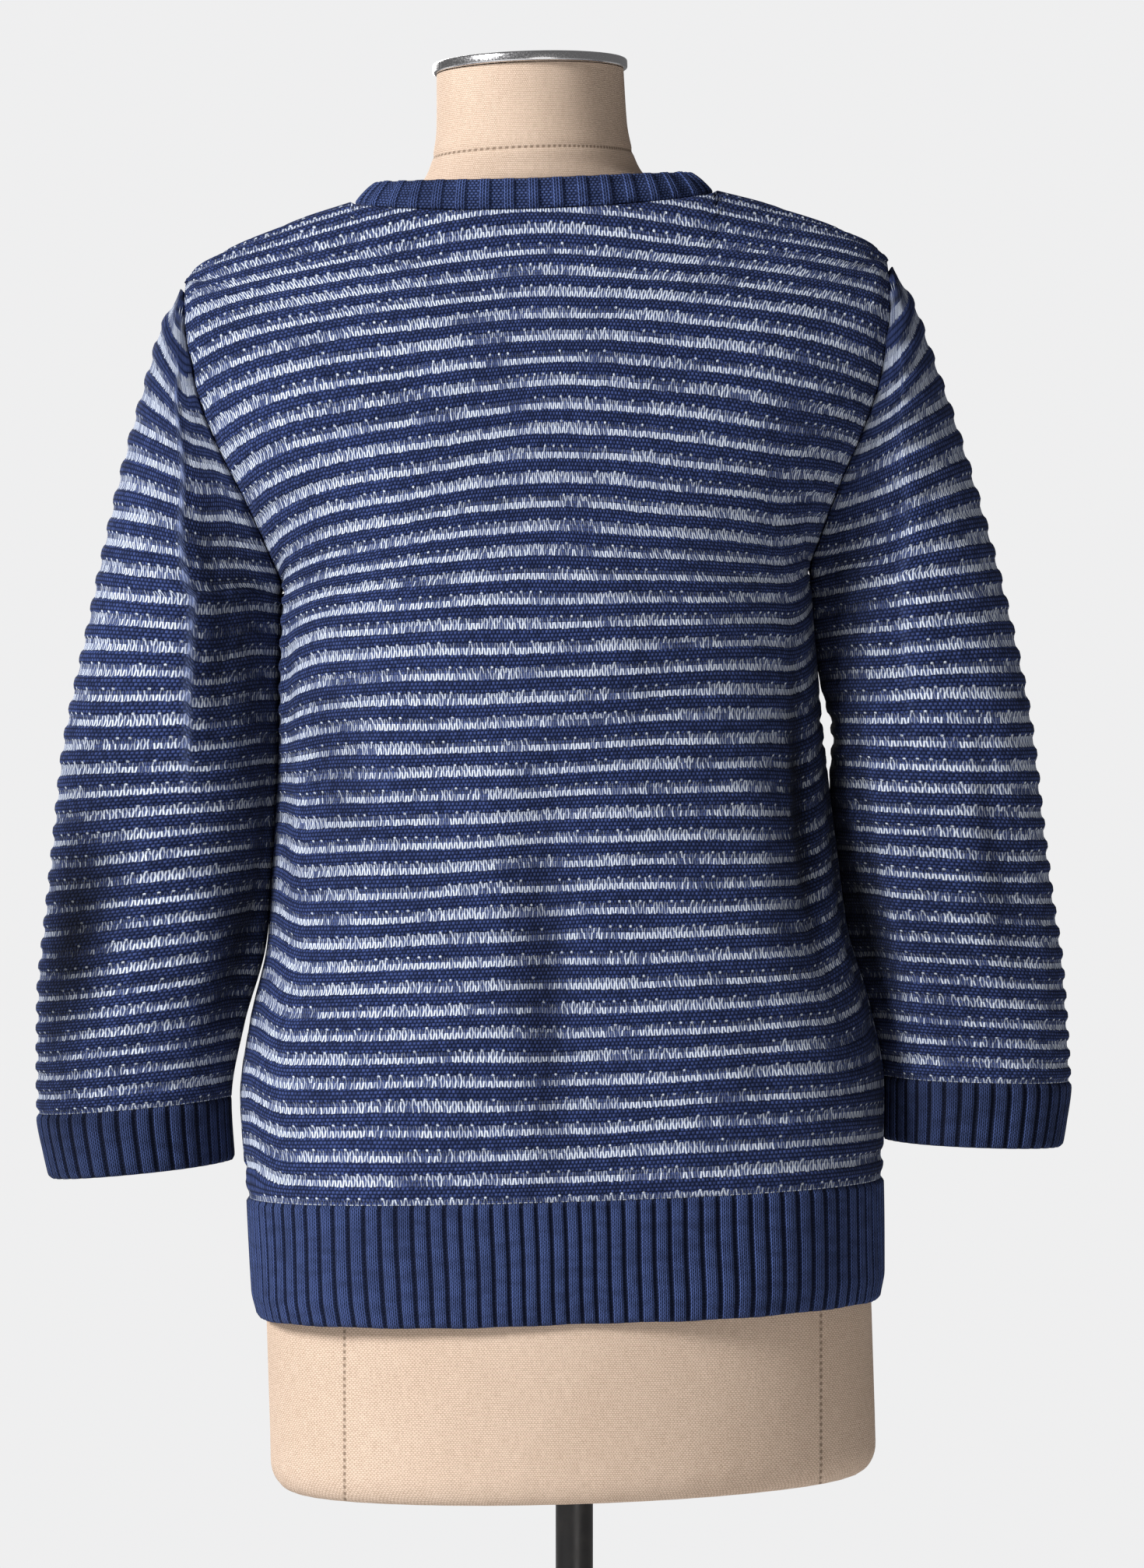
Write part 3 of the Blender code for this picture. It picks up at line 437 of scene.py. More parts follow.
def edge_angle(side, z):
    """The angle from a panel's middle to its side seam or armhole, as on a circle."""
    width, depth, power = half_sizes(side, z)
    angle = np.arctan2(along(BODY, "edge", z) / width, armhole_y(z) / depth)
    shift = math.radians(SEAM_SHIFT_DEG) * (1 - smoothstep(0.80, UNDERARM_Z, z))
    return angle - side * shift


def oval(angle, side, z):
    """The oval's point at an angle: the reach along that way is (a^p + f^p)^(-1/p)."""
    width, depth, power = half_sizes(side, z)
    other = half_sizes(-side, z)
    past = np.cos(angle) < 0
    width = np.where(past, other[0], width)
    depth = np.where(past, other[1], depth)
    turn = np.arctan2(width * np.sin(angle), depth * np.cos(angle))
    across = np.abs(np.sin(turn) / width)
    fore = np.abs(np.cos(turn) / depth)
    reach = (across**power + fore**power) ** (-1 / power)
    return reach * np.sin(turn), side * reach * np.cos(turn)


def panel_angle(side, place, z):
    """Spreads places evenly over the arc: a sine takes out the crowding of a flat oval."""
    width, depth, power = half_sizes(side, z)
    first = np.where(side > 0, 0.0, np.arcsin(FRONT_EDGE_X / width))
    evened = place - 0.165 * (1 - depth / width) * np.sin(math.pi * place)
    return first + (edge_angle(side, z) - first) * evened


def panel_points(side, place, z):
    """The body's inner surface at places and heights; above the tip it closes to the shoulder."""
    place, z = np.broadcast_arrays(np.asarray(place, dtype=float), np.asarray(z, dtype=float))
    low = np.minimum(z, TIP_Z)
    x, y = oval(panel_angle(side, np.abs(place), low), side, low)
    width, depth, power = half_sizes(side, z)
    inside = np.clip(1 - (x / width) ** power, 0.0, 1.0)
    y = np.where(z > TIP_Z, side * depth * inside ** (1 / power), y)
    return np.stack([np.where(place < 0, -x, x), y, z], axis=-1)


def body_normals(points, side):
    """Outward normals: the gradient of |x/w|^p + |y/d|^p, with w and d changing by height."""
    x, y, z = points[..., 0], points[..., 1], points[..., 2]
    side = np.where(y == 0, side, np.sign(y))
    step = 0.0005
    width, depth, power = half_sizes(side, z)
    wider, deeper, _ = half_sizes(side, z + step)
    narrow, thin, _ = half_sizes(side, z - step)
    across = np.abs(x / width)
    fore = np.abs(y / depth)
    widening = (wider - narrow) / (2 * step * width)
    deepening = (deeper - thin) / (2 * step * depth)
    gx = np.sign(x) * across ** (power - 1) / width
    gy = np.sign(y) * fore ** (power - 1) / depth
    gz = -(across**power * widening + fore**power * deepening)
    return unit(np.stack([gx, gy, gz], axis=-1))


def shoulder_z(x):
    """The shoulder line's height above a distance from the middle."""
    z = np.linspace(TIP_Z, BODY["z"][-1], 600)
    line = along(BODY, "edge", z)
    return np.interp(x, line[::-1], z[::-1])


def neckline_z(side, x):
    """The neckline's height, a bowl: its side less its depth times (1 - t^2)^power."""
    low, power = (NECK_BACK_Z, 0.5) if side > 0 else (NECK_FRONT_Z, 0.7)
    t = np.clip(np.abs(x) / NECK_HALF_WIDTH, 0.0, 1.0)
    return NECK_SIDE_Z - (NECK_SIDE_Z - low) * (1 - t**2) ** power


def top_z(side, places):
    """Where each column ends: the first height that reaches the neckline or the shoulder."""
    z = np.linspace(NECK_FRONT_Z - 0.005, NECK_SIDE_Z + 0.0002, 3000)
    x = np.abs(panel_points(side, places[:, None], z[None, :])[..., 0])
    limit = np.where(x < NECK_HALF_WIDTH, neckline_z(side, x), shoulder_z(x))
    over = z[None, :] >= limit
    top = limit[np.arange(len(places)), np.argmax(over, axis=1)]
    return np.minimum(np.where(over.any(axis=1), top, NECK_SIDE_Z), NECK_SIDE_Z)


def fold_depth(folds, place, z):
    """The folds' depths added up: each is a cos^2 across its width times a cos^2 along it."""
    total = np.zeros(np.broadcast(place, z).shape)
    for i in range(len(folds["place"])):
        across = np.abs(place - folds["place"][i]) / folds["width"][i]
        middle = (folds["top"][i] + folds["bottom"][i]) / 2
        reach = (folds["top"][i] - folds["bottom"][i]) / 2
        length = np.abs(z - middle) / reach
        soft = np.cos(np.clip(across, 0, 1) * math.pi / 2) ** 2
        total = total + folds["depth"][i] * soft * np.cos(np.clip(length, 0, 1) * math.pi / 2) ** 2
    return total


def overlap_lift(side, x):
    """The right front rises over the left band beside its own edge; nothing rises behind."""
    if side > 0:
        return 0 * x
    return OVERLAP_LIFT * (1 - smoothstep(FRONT_EDGE_X, 0.036, -x)) * (x < 0)


def fold_mirror(folds, hand):
    """The same folds on the other side: their places change sign."""
    turned = dict(folds)
    turned["place"] = folds["place"] * hand
    return turned

# %% [markdown]
# ## A shell from two grids
#
# Knitted cloth has two sides and an edge. The outside is a fine grid that carries the ridges; the
# lining side is plain, so it takes every fourth row and column of its own grid; and the rims
# between them are seven-sided faces, four outer edges to one inner edge. A tube, such as a
# sleeve below the underarm, shares its first and last columns.

# %% Mesh builders
def grid_faces(ids):
    """The quads of a grid of point numbers."""
    return np.stack([ids[:-1, :-1], ids[:-1, 1:], ids[1:, 1:], ids[1:, :-1]], axis=-1).reshape(-1, 4)


def rim_faces(line, plain, forward):
    """Seven-sided faces from an outer edge, five points each, to the lining's edge."""
    at = np.arange(0, len(line) - 1, 4)[:, None] + np.arange(5)
    step = np.arange(len(plain) - 1)
    five = line[at] if forward else line[at][:, ::-1]
    two = np.stack([plain[step + 1], plain[step]], axis=1)
    return np.concatenate([five, two if forward else two[:, ::-1]], axis=1)


def fill_mesh(name, points, groups, uv, values=None):
    """A mesh object from points, arrays of faces of equal size and a UV for each point."""
    used, first = np.unique(np.concatenate([kept.ravel() for kept, shown in groups]), return_inverse=True)
    corners = first.reshape(-1)
    shown = np.concatenate([marks.ravel() for kept, marks in groups])
    sizes = np.concatenate([np.full(len(kept), kept.shape[1]) for kept, marks in groups])
    mesh = bpy.data.meshes.new(name)
    mesh.vertices.add(len(used))
    mesh.vertices.foreach_set("co", points[used].astype(np.float32).ravel())
    mesh.loops.add(len(corners))
    mesh.loops.foreach_set("vertex_index", corners.astype(np.int32))
    mesh.polygons.add(len(sizes))
    starts = np.concatenate([[0], np.cumsum(sizes)[:-1]])
    mesh.polygons.foreach_set("loop_start", starts.astype(np.int32))
    layer = mesh.uv_layers.new(name="Stitches")
    layer.data.foreach_set("uv", uv[shown].astype(np.float32).ravel())
    for key, value in (values or {}).items():
        mesh.attributes.new(key, "FLOAT", "POINT").data.foreach_set("value", value[used].astype(np.float32))
    mesh.update(calc_edges=True)
    mesh.validate()
    mesh.shade_smooth()
    thing = bpy.data.objects.new(name, mesh)
    bpy.context.scene.collection.objects.link(thing)
    return thing


def cloth_shell(name, outer, inner, uv, values=None, weld=0):
    """A closed shell of cloth: outer quads, a lining four times as coarse, and rims between.

    outer and inner are grids of points, rows by columns, uv the stitch coordinates of the outer
    grid, and weld the last row up to which the first and last columns are one.
    """
    rows, cols = outer.shape[:2]
    lining = inner[::4, ::4]
    face = np.arange(rows * cols).reshape(rows, cols)
    back = rows * cols + np.arange(lining.shape[0] * lining.shape[1]).reshape(lining.shape[:2])
    merged = np.arange(rows * cols + back.size)
    if weld:
        merged[face[: weld + 1, -1]] = face[: weld + 1, 0]
        merged[back[: weld // 4 + 1, -1]] = back[: weld // 4 + 1, 0]
    groups = [grid_faces(face), grid_faces(back)[:, ::-1]]
    rims = [
        rim_faces(face[0], back[0], False),
        rim_faces(face[-1], back[-1], True),
    ]
    if weld < rows - 1:
        rims.append(rim_faces(face[weld:, 0], back[weld // 4 :, 0], True))
        rims.append(rim_faces(face[weld:, -1], back[weld // 4 :, -1], False))
    groups.append(np.concatenate(rims))
    first = outer[:-1, :-1]
    facing = np.cross(outer[:-1, 1:] - first, outer[1:, :-1] - first)
    if (facing * (first - inner[:-1, :-1])).sum() < 0:
        groups = [g[:, ::-1] for g in groups]
    points = lean(np.concatenate([outer.reshape(-1, 3), lining.reshape(-1, 3)]))
    marks = np.concatenate([uv.reshape(-1, 2), uv[::4, ::4].reshape(-1, 2)])
    spread = {}
    for key, value in (values or {}).items():
        spread[key] = np.concatenate([value.ravel(), value[::4, ::4].ravel()])
    return fill_mesh(name, points, [(merged[g], g) for g in groups], marks, spread)


def ring_shell(name, rings):
    """A closed solid through equal rings of points, with a flat face on each end."""
    points = np.stack(rings)
    rows, cols = points.shape[:2]
    ids = np.arange(rows * cols).reshape(rows, cols)
    ids = np.concatenate([ids, ids[:, :1]], axis=1)
    sides = grid_faces(ids)
    ends = np.stack([ids[0, :-1][::-1], ids[-1, :-1]])
    around = np.broadcast_to(np.arange(cols) / cols, (rows, cols))
    up = np.broadcast_to(np.arange(rows)[:, None] / rows, (rows, cols))
    uv = np.stack([around, up], axis=-1).reshape(-1, 2)
    thing = fill_mesh(name, points.reshape(-1, 3), [(sides, sides), (ends, ends)], uv)
    thing.data.set_sharp_from_angle(angle=math.radians(50))
    return thing

# %% [markdown]
# ## The knit's ridges and its sway
#
# The stripes are knitted in a pattern: four navy rows in purl stand out as a ridge, and two white
# rows in plain stitches lie back. One pattern repeat is called a course here, and the white row's
# middle is at each whole number. Hand-fed yarn never runs dead level, so the courses also sway a
# little up and down; the same sway is stored for the material, so that colour and ridge agree.

# %% Ridges and sway
RIDGE_SHOWN = 0.0017


def ridge_height(course):
    """A rounded ridge over the navy rows: it rises between 0.13 and 0.37 of a course from the white."""
    t = np.abs(course - np.round(course))
    crown = 0.84 + 0.16 * np.sin(math.pi * np.clip((t - 0.2) / 0.6, 0, 1))
    return RIDGE_SHOWN * smoothstep(0.13, 0.37, t) * crown


def sway(wale, course, seed):
    """A slow drift of the courses, up to 0.09 of a course: three sine waves added."""
    a = 0.045 * np.sin(0.083 * wale + 0.35 * course + seed)
    b = 0.030 * np.sin(0.031 * wale - 0.62 * course + 2.1 * seed)
    c = 0.018 * np.sin(0.210 * wale + 1.10 * course + 0.7 * seed)
    return (a + b + c) * smoothstep(0.5, 3.0, course)


def above_underarm(z):
    """0 below the underarm and 1 above it, with a smooth step over 24 mm."""
    return smoothstep(UNDERARM_Z - 0.012, UNDERARM_Z + 0.012, z)


def gaussian(distance, width):
    """A bell: e^(-(distance / width)^2)."""
    return np.exp(-((distance / width) ** 2))


def pressed(ridge, place, z, gap_at=None):
    """Ridges press flat where the sleeve and the body lie on each other, below the underarm."""
    near = smoothstep(0.88, 0.97, np.abs(place)) * smoothstep(0.785, 0.80, z)
    near = near * (1 - smoothstep(UNDERARM_Z - 0.012, UNDERARM_Z + 0.002, z))
    if gap_at is not None:
        near = near * (1 - gaussian(z - gap_at, 0.020))
    return ridge + (RIDGE_HEIGHT + 0.0004 - ridge) * near


def eased(points, weight, times):
    """Evens a grid along its columns, each pass a (1, 2, 1) / 4 average times the weight."""
    for _ in range(times):
        middle = (points[:-2] + points[2:]) / 2 - points[1:-1]
        points[1:-1] += 0.5 * weight[1:-1, :, None] * middle
    return points


def grid_normals(points, toward):
    """Normals of a grid from its own steps, turned to the side that toward points to."""
    normal = unit(np.cross(np.gradient(points, axis=1), np.gradient(points, axis=0)))
    return normal * np.sign((normal * toward).sum(axis=-1, keepdims=True))

# %% [markdown]
# ## Back and front panels
#
# Each panel is a grid of columns and rows over the body's surface. Rows are spaced evenly along
# the cloth, not by height, because the cloth turns over to lie nearly level at the shoulders. A
# point stands off the inner surface by the wall, the ridge and the folds. At the wearer's right
# side the cloth is drawn up under the arm, so the courses climb towards that seam; at the left
# they climb too, steeply, below the waist.

# %% The panels
WALES_IN_PANEL = 70
# The most that painted shade may darken the yarn's colour
DARKEST_PAINTED_SHADE = 0.88
FAR_AWAY = 9.0


def drawn_up(side, place, z):
    """How far courses climb towards the side seams, in courses: steeply at the wearer's left."""
    at_side = smoothstep(0.70, 1.0, -place) * np.where(side > 0, 1.0, 0.6)
    high = smoothstep(0.80, 0.90, z) * (1 - smoothstep(1.12, 1.26, z))
    hooked = smoothstep(0.72, 0.92, place) * np.where(side > 0, 1.0, 0.3)
    low = smoothstep(RIB_TOP_Z + 0.002, RIB_TOP_Z + 0.020, z) * (1 - smoothstep(0.98, 1.06, z))
    return 1.15 * at_side * high + 0.60 * hooked * low


def dropped(side, place, z):
    """How far courses hang down beside the underarms, in courses."""
    at_side = smoothstep(0.62, 1.0, np.abs(place)) * np.where(side > 0, 1.0, 0.5)
    left = np.where(place > 0, 1.0, 0.35)
    return 0.75 * left * at_side * smoothstep(0.90, 1.08, z) * (1 - smoothstep(1.11, 1.24, z))


def panel(name, side, places, folds, fine, shades, seed):
    """One panel's shell from its columns' places."""
    top = top_z(side, places)
    w = np.linspace(0, 1, 500)[:, None]
    z = RIB_TOP_Z + (top - RIB_TOP_Z) * (1 - (1 - w) ** 2)
    line = panel_points(side, places, z)
    length = np.linalg.norm(np.diff(line, axis=0), axis=2)
    run = np.concatenate([np.zeros((1, len(places))), np.cumsum(length, axis=0)])
    share = np.linspace(0, 1, PANEL_ROWS)
    usual = float(np.median(run[-1]))
    evened = np.convolve(np.pad(run[-1], 12, mode="edge"), np.ones(25) / 25, mode="valid")
    level = share[:, None]
    reach = level * usual + (evened - usual) * level**3 + (run[-1] - evened) * level**18
    z = np.stack([np.interp(c, r, h) for c, r, h in zip(reach.T, run.T, z.T)], axis=1)
    course = reach / COURSE_PITCH
    wale = np.broadcast_to(places * WALES_IN_PANEL, z.shape)
    course_shown = course + sway(wale, course, seed) - drawn_up(side, places, z)
    course_shown = course_shown + dropped(side, places, z)
    inner = panel_points(side, places, z)
    inner[..., 1] += side * GAP * (np.abs(inner[..., 1]) < GAP) * (z > TIP_Z - 0.004)
    at_arm = smoothstep(1.03, 1.09, z) * (1 - smoothstep(1.16, 1.23, z))
    at_tip = smoothstep(1.255, 1.285, z) * (1 - smoothstep(1.310, 1.326, z))
    at_tip = at_tip * (1 - smoothstep(0.90, 0.96, share[:, None]))
    soft = (at_arm + at_tip) * (1 - smoothstep(0.86, 0.97, np.abs(places)))
    smooth = body_normals(inner, side)
    inner = eased(inner, soft, EASING_PASSES)
    normal = unit(smooth + (grid_normals(inner, smooth) - smooth) * soft[..., None])
    depth = fold_depth(folds, places, z) + fold_depth(fine, places, z)
    inner = inner + normal * (overlap_lift(side, inner[..., 0]) - depth)[..., None]
    at_armhole = above_underarm(z) * smoothstep(0.93, 1.0, np.abs(places))
    wall = WALL + (SEAM_WALL - WALL) * at_armhole
    end = np.minimum(share[:, None] * PANEL_ROWS / 5, (1 - share[:, None]) * PANEL_ROWS / 5)
    ridge = ridge_height(course_shown) * (1 - at_armhole) * smoothstep(0, 1, end)
    opening = np.where(places < 0, OPENING_Z, FAR_AWAY)
    ridge = pressed(ridge, places, z, opening)
    outer = inner + normal * (wall + ridge)[..., None]
    uv = np.stack([wale, course_shown], axis=-1)
    # Painted shade: deep folds and the listed shades darken the yarn's colour
    painted_shade = np.clip(depth / 0.012, 0, 0.5) + fold_depth(shades, places, z)
    painted_shade = np.clip(painted_shade, 0, DARKEST_PAINTED_SHADE)
    values = {"stretch": fold_depth(STRETCHED_BACK, places, z) * (side > 0), "painted_shade": painted_shade}
    thing = cloth_shell(name, outer, inner, uv, values)
    print(name, "points:", outer.shape[0] * outer.shape[1], "courses:", np.round(course[-1, ::25], 1))
    return thing


edge_place = 1 - 0.0012
back_places = np.linspace(-edge_place, edge_place, BACK_COLUMNS)
back = panel("back_knit", 1, back_places, BACK_FOLDS, BACK_FINE_FOLDS, BACK_SHADES, 0.4)
front_places = np.linspace(0, edge_place, FRONT_COLUMNS)
front_left = panel("front_left_knit", -1, front_places, FRONT_FOLDS, FRONT_FINE_FOLDS, FRONT_SHADES, 1.9)
right_places = -front_places
right_places[0] = -1e-9
right_folds = [fold_mirror(folds, -1) for folds in (FRONT_FOLDS, FRONT_FINE_FOLDS, FRONT_SHADES)]
front_right = panel("front_right_knit", -1, right_places, *right_folds, 3.3)

# %% [markdown]
# ## Sleeves
#
# A sleeve is a tube from the cuff to the underarm and an open arc from there to the shoulder's
# tip, where it is sewn into the armhole. Its oval stands off the body's edge by the thickness of
# both walls, so the seam has a hair's gap. Where the arm hangs forward the cloth breaks into one
# sharp crease beside the armhole: the stitches are stretched there, and look lighter, and the
# courses slip by a third where they cross it.

# %% The sleeve's surface
def sleeve_depth(z):
    """Half the sleeve's depth: its own up to the armhole's middle, then the armhole's."""
    middle = (UNDERARM_Z + TIP_Z) / 2
    return np.where(z < middle, along(SLEEVE, "depth", z), np.maximum(1.03 * armhole_y(z), 0.002))


def sleeve_angles(place, z):
    """The angle of a place round the oval from its outermost line, and of the last place."""
    last = math.pi - np.arcsin(np.clip(armhole_y(z) / sleeve_depth(z), 0.0, 1.0))
    return np.abs(place) * math.pi - (math.pi - last) * place**2, last


def sleeve_base(place, z):
    """The sleeve's oval between the body's edge and its outermost line."""
    edge = along(BODY, "edge", z)
    half_depth = sleeve_depth(z)
    angle, last = sleeve_angles(place, z)
    outermost = along(SLEEVE, "outer", z)
    half_width = (outermost - edge) / (1 - np.cos(last))
    x = outermost - half_width * (1 - np.cos(angle))
    y = np.where(place >= 0, 1.0, -1.0) * half_depth * np.sin(angle)
    return np.stack([x, y, z + 0 * x], axis=-1)


def cross_normals(function, place, z):
    """Outward normals: the cross product of a small step along the surface and one up it."""
    step = 0.0005
    near = np.clip(place, -1 + step, 1 - step)
    near = np.where(np.abs(near) < step, step, near)
    run = function(near + step, z) - function(near - step, z)
    rise = function(near, z + step) - function(near, z - step)
    return unit(np.cross(run, rise))


def edge_wall(z):
    """The wall's thickness where the sleeve meets the body: thinner above the underarm."""
    full = WALL + RIDGE_HEIGHT
    return full + (SEAM_WALL - full) * above_underarm(z)


def seam_shift(side, z):
    """Moves the sleeve's edge out along the bisector of the two walls until they lie clear."""
    z = np.clip(z, 0.60, TIP_Z - 0.0010)
    step = 0.0004
    upper = panel_points(side, 1.0, np.minimum(z + step, TIP_Z))
    lower = panel_points(side, 1.0, z - step)
    tangent = unit(upper - lower)
    edge = panel_points(side, 1.0, z)
    body = body_normals(edge, side)
    sleeve = cross_normals(sleeve_base, side * 1.0 + 0 * z, z)
    lean_in = body - sleeve
    cross = side * np.cross(body + sleeve, tangent)
    cross = np.where(cross[..., :1] < 0, -cross, cross)
    across = unit(cross + lean_in)
    inward = np.maximum((lean_in * across).sum(axis=-1), 0.0)
    ease = TIP_EASE * smoothstep(TIP_Z - 0.045, TIP_Z - 0.020, z)
    above = across * (edge_wall(z) * inward + SEAM_GAP + ease)[..., None]
    beside = np.zeros_like(above)
    beside[..., 0] = 2 * edge_wall(z) + SEAM_GAP
    share = smoothstep(UNDERARM_Z - 0.001, UNDERARM_Z + 0.010, z)[..., None]
    return beside + (above - beside) * share


def sleeve_points(place, z):
    """The inner surface of the wearer's left sleeve, its edge moved clear of the body."""
    place, z = np.broadcast_arrays(np.asarray(place, dtype=float), np.asarray(z, dtype=float))
    angle, last = sleeve_angles(place, z)
    share = ((1 - np.cos(angle)) / (1 - np.cos(last))) ** 4
    behind = (place >= 0)[..., None]
    shift = np.where(behind, seam_shift(1, z), seam_shift(-1, z))
    return sleeve_base(place, z) + shift * share[..., None]


def swung(place, z):
    """How the sleeve hangs: its outer line swings back and its face lies flatter, below the arm.

    The shift is in y: a share (1 + cos(angle)) / 2 of the swing, and the difference between
    sin^0.8 and sin of the angle for the flatter face.
    """
    turn = math.pi * np.abs(place)
    low = 1 - smoothstep(1.00, 1.22, z)
    outside = (1 + np.cos(turn)) / 2
    flatter = np.abs(np.sin(turn)) ** 0.8 - np.abs(np.sin(turn))
    side = np.where(place >= 0, 1.0, -1.0)
    return low * (0.009 * outside + side * sleeve_depth(z) * flatter * outside)


def hung(hand, place, z):
    """Sideways shift of a sleeve: the form leans, but the sleeves still hang straight down.

    Under the shoulder's tip the sleeve's head is drawn in towards the body as well.
    """
    outside = (1 + np.cos(math.pi * np.abs(place))) / 2
    head = -0.0030 * outside * smoothstep(1.266, 1.292, z)
    if hand < 0:
        return head - 0.0055 * outside * (1 - smoothstep(0.90, 1.06, z))
    low = 1 - smoothstep(1.02, 1.12, z)
    cuff_end = 1 - smoothstep(0.80, 0.96, z)
    return head + 0.0042 * low * outside + 0.0060 * cuff_end * (1 - outside)


def sleeve_z(course, place):
    """A course's height: its outer line's, eased by sin^2 of the place to the armhole's."""
    outer = CUFF_TOP_OUTER_Z + 0.0106 * course + 0.000104 * course**2
    inner = along(SLEEVE_EDGE, "z", course, key="course")
    inner = np.where(course < 0, CUFF_TOP_INNER_Z + 0.0106 * course, inner)
    share = np.sin(math.pi * np.abs(place) / 2) ** 2
    return np.minimum(outer + (inner - outer) * share, TIP_Z - 0.0004)


CREASE = table(
    "z place",
    [
        (0.980, 0.560),
        (1.100, 0.520),
        (1.159, 0.510),
        (1.222, 0.575),
        (1.262, 0.660),
    ],
)


def crease_parts(place, z):
    """The sharp crease: its height, the slip of the courses beyond it, and its stretched strip."""
    line = np.interp(z, CREASE["z"], CREASE["place"])
    away = place - line
    long = smoothstep(0.985, 1.075, z) * (1 - smoothstep(1.225, 1.262, z))
    height = 0.0030 * long * np.where(away < 0, gaussian(away, 0.075), gaussian(away, 0.022))
    slip = 0.36 * long * smoothstep(0.0, 0.020, away) * (1 - smoothstep(0.06, 0.30, away))
    strip = long * gaussian(away - 0.004, 0.013)
    return height, slip, strip

# %% [markdown]
# ## The two sleeves
#
# The right sleeve is the left one mirrored, but worn cloth is never symmetrical, so its fine
# folds differ in size and only a trace of the sharp crease is left.

# %% The sleeves
WALES_IN_SLEEVE = 50


def sleeve(name, hand, folds, fine, shades, crease_size, seed):
    """One sleeve's shell: a tube up to the underarm and an open arc above it."""
    weld = float(along(SLEEVE_EDGE, "course", UNDERARM_Z))
    tube = np.linspace(0, weld, SLEEVE_TUBE_ROWS + 1)
    arc = np.linspace(weld, SLEEVE_LAST_COURSE, SLEEVE_ARC_ROWS + 1)[1:]
    rows = np.concatenate([tube, arc])
    places = np.linspace(-1, 1, SLEEVE_COLUMNS)
    course = np.broadcast_to(rows[:, None], (len(rows), len(places)))
    z = sleeve_z(course, places)
    height, slip, strip = crease_parts(places, z)
    front_height, front_slip, front_strip = crease_parts(-places - 0.06, z - 0.02)
    lift = crease_size * height + 0.6 * front_height
    joined = smoothstep(0.0, 0.10, 1 - np.abs(places))
    drift = joined * sway(places * WALES_IN_SLEEVE, course, seed)
    course_shown = course + drift + crease_size * slip + 0.6 * front_slip
    wale = np.broadcast_to(places * WALES_IN_SLEEVE, z.shape)
    inner = sleeve_points(places, z)
    normal = cross_normals(sleeve_points, np.broadcast_to(places, z.shape), z)
    inner[..., 1] += swung(places, z)
    inner[..., 0] += hung(hand, places, z)
    if hand < 0:
        near_body = smoothstep(0.80, 0.97, np.abs(places))
        inner[..., 0] += 0.0045 * gaussian(z - OPENING_Z, 0.022) * near_body
    depth = fold_depth(folds, places, z) + fold_depth(fine, places, z)
    inner = inner + normal * (lift - depth)[..., None]
    at_armhole = above_underarm(z) * smoothstep(0.9, 1.0, np.abs(places))
    at_tip = smoothstep(1.274, 1.295, z)
    wall = (WALL + (SEAM_WALL - WALL) * at_armhole) * (1 - 0.55 * at_tip)
    ends = smoothstep(0.0, 0.20, course) * (1 - at_tip)
    flat = 1 - 0.7 * crease_size * strip
    ridge = ridge_height(course_shown) * (1 - at_armhole) * ends * flat
    ridge = pressed(ridge, places, z, OPENING_Z if hand < 0 else None)
    outer = inner + normal * (wall + ridge)[..., None]
    mirror = np.array([hand, 1.0, 1.0])
    uv = np.stack([wale, course_shown], axis=-1)
    # Painted shade: deep folds and the listed shades darken the yarn's colour
    painted_shade = np.clip(depth / 0.014, 0, 0.45) + fold_depth(shades, places, z)
    painted_shade = np.clip(painted_shade, 0, DARKEST_PAINTED_SHADE)
    values = {"stretch": crease_size * strip + 0.6 * front_strip, "painted_shade": painted_shade}
    thing = cloth_shell(name, outer * mirror, inner * mirror, uv, values, weld=SLEEVE_TUBE_ROWS)
    print(name, "points:", outer.shape[0] * outer.shape[1])
    return thing


sleeve_left = sleeve("sleeve_left_knit", 1.0, SLEEVE_FOLDS, SLEEVE_FINE_FOLDS, SLEEVE_SHADES, 1.0, 5.1)
right_fine = dict(SLEEVE_FINE_FOLDS)
right_fine["place"] = SLEEVE_FINE_FOLDS["place"] * 0.9 - 0.03
right_fine["depth"] = SLEEVE_FINE_FOLDS["depth"] * np.array([0.6, 1.3, 0.8, 1.2, 1.0, 0.7, 1.2])
sleeve_right = sleeve("sleeve_right_knit", -1.0, SLEEVE_FOLDS, right_fine, RIGHT_SHADES, 0.15, 7.7)

# %% [markdown]
# ## Ribs
#
# A rib is a strip of three plain stitches that stands up, with a narrow purl groove beside it
# that the rib's pull hides. It's why cuffs and hems cling. Each rib here is twelve columns of
# the mesh: the groove has steep sides, and each stitch of the rib is a slight round of its own.

# %% The rib's section
RIB_SHOWN = 0.0019
RIB_STEPS = 12


def rib_ridge(rib):
    """A rib's height: a groove at each whole number, and three small rounds between."""
    t = rib - np.floor(rib)
    wide = smoothstep(0.03, 0.24, np.minimum(t, 1 - t))
    crown = np.sin(math.pi * t)
    round_stitch = np.abs(np.sin(math.pi * np.clip((t - 0.10) / 0.80, 0, 1) * 3))
    return RIB_SHOWN * wide * (0.56 + 0.32 * crown + 0.12 * round_stitch)


def edge_round(share, reach=0.06):
    """Thins a wall at its two ends, so that a knitted edge looks rolled: sqrt of the distance."""
    near = np.minimum(share, 1 - share) / reach
    return np.sqrt(np.clip(near, 0, 1) * (2 - np.clip(near, 0, 1)))


# %% [markdown]
# ## Hem ribs
#
# The hem hangs from the panels, so it follows the same ovals. Its lower edge waves a little, as
# a knitted edge does, and each rib leans slightly with the pull of the cloth above.

# %% The hem ribs
HEM_ROWS = 33


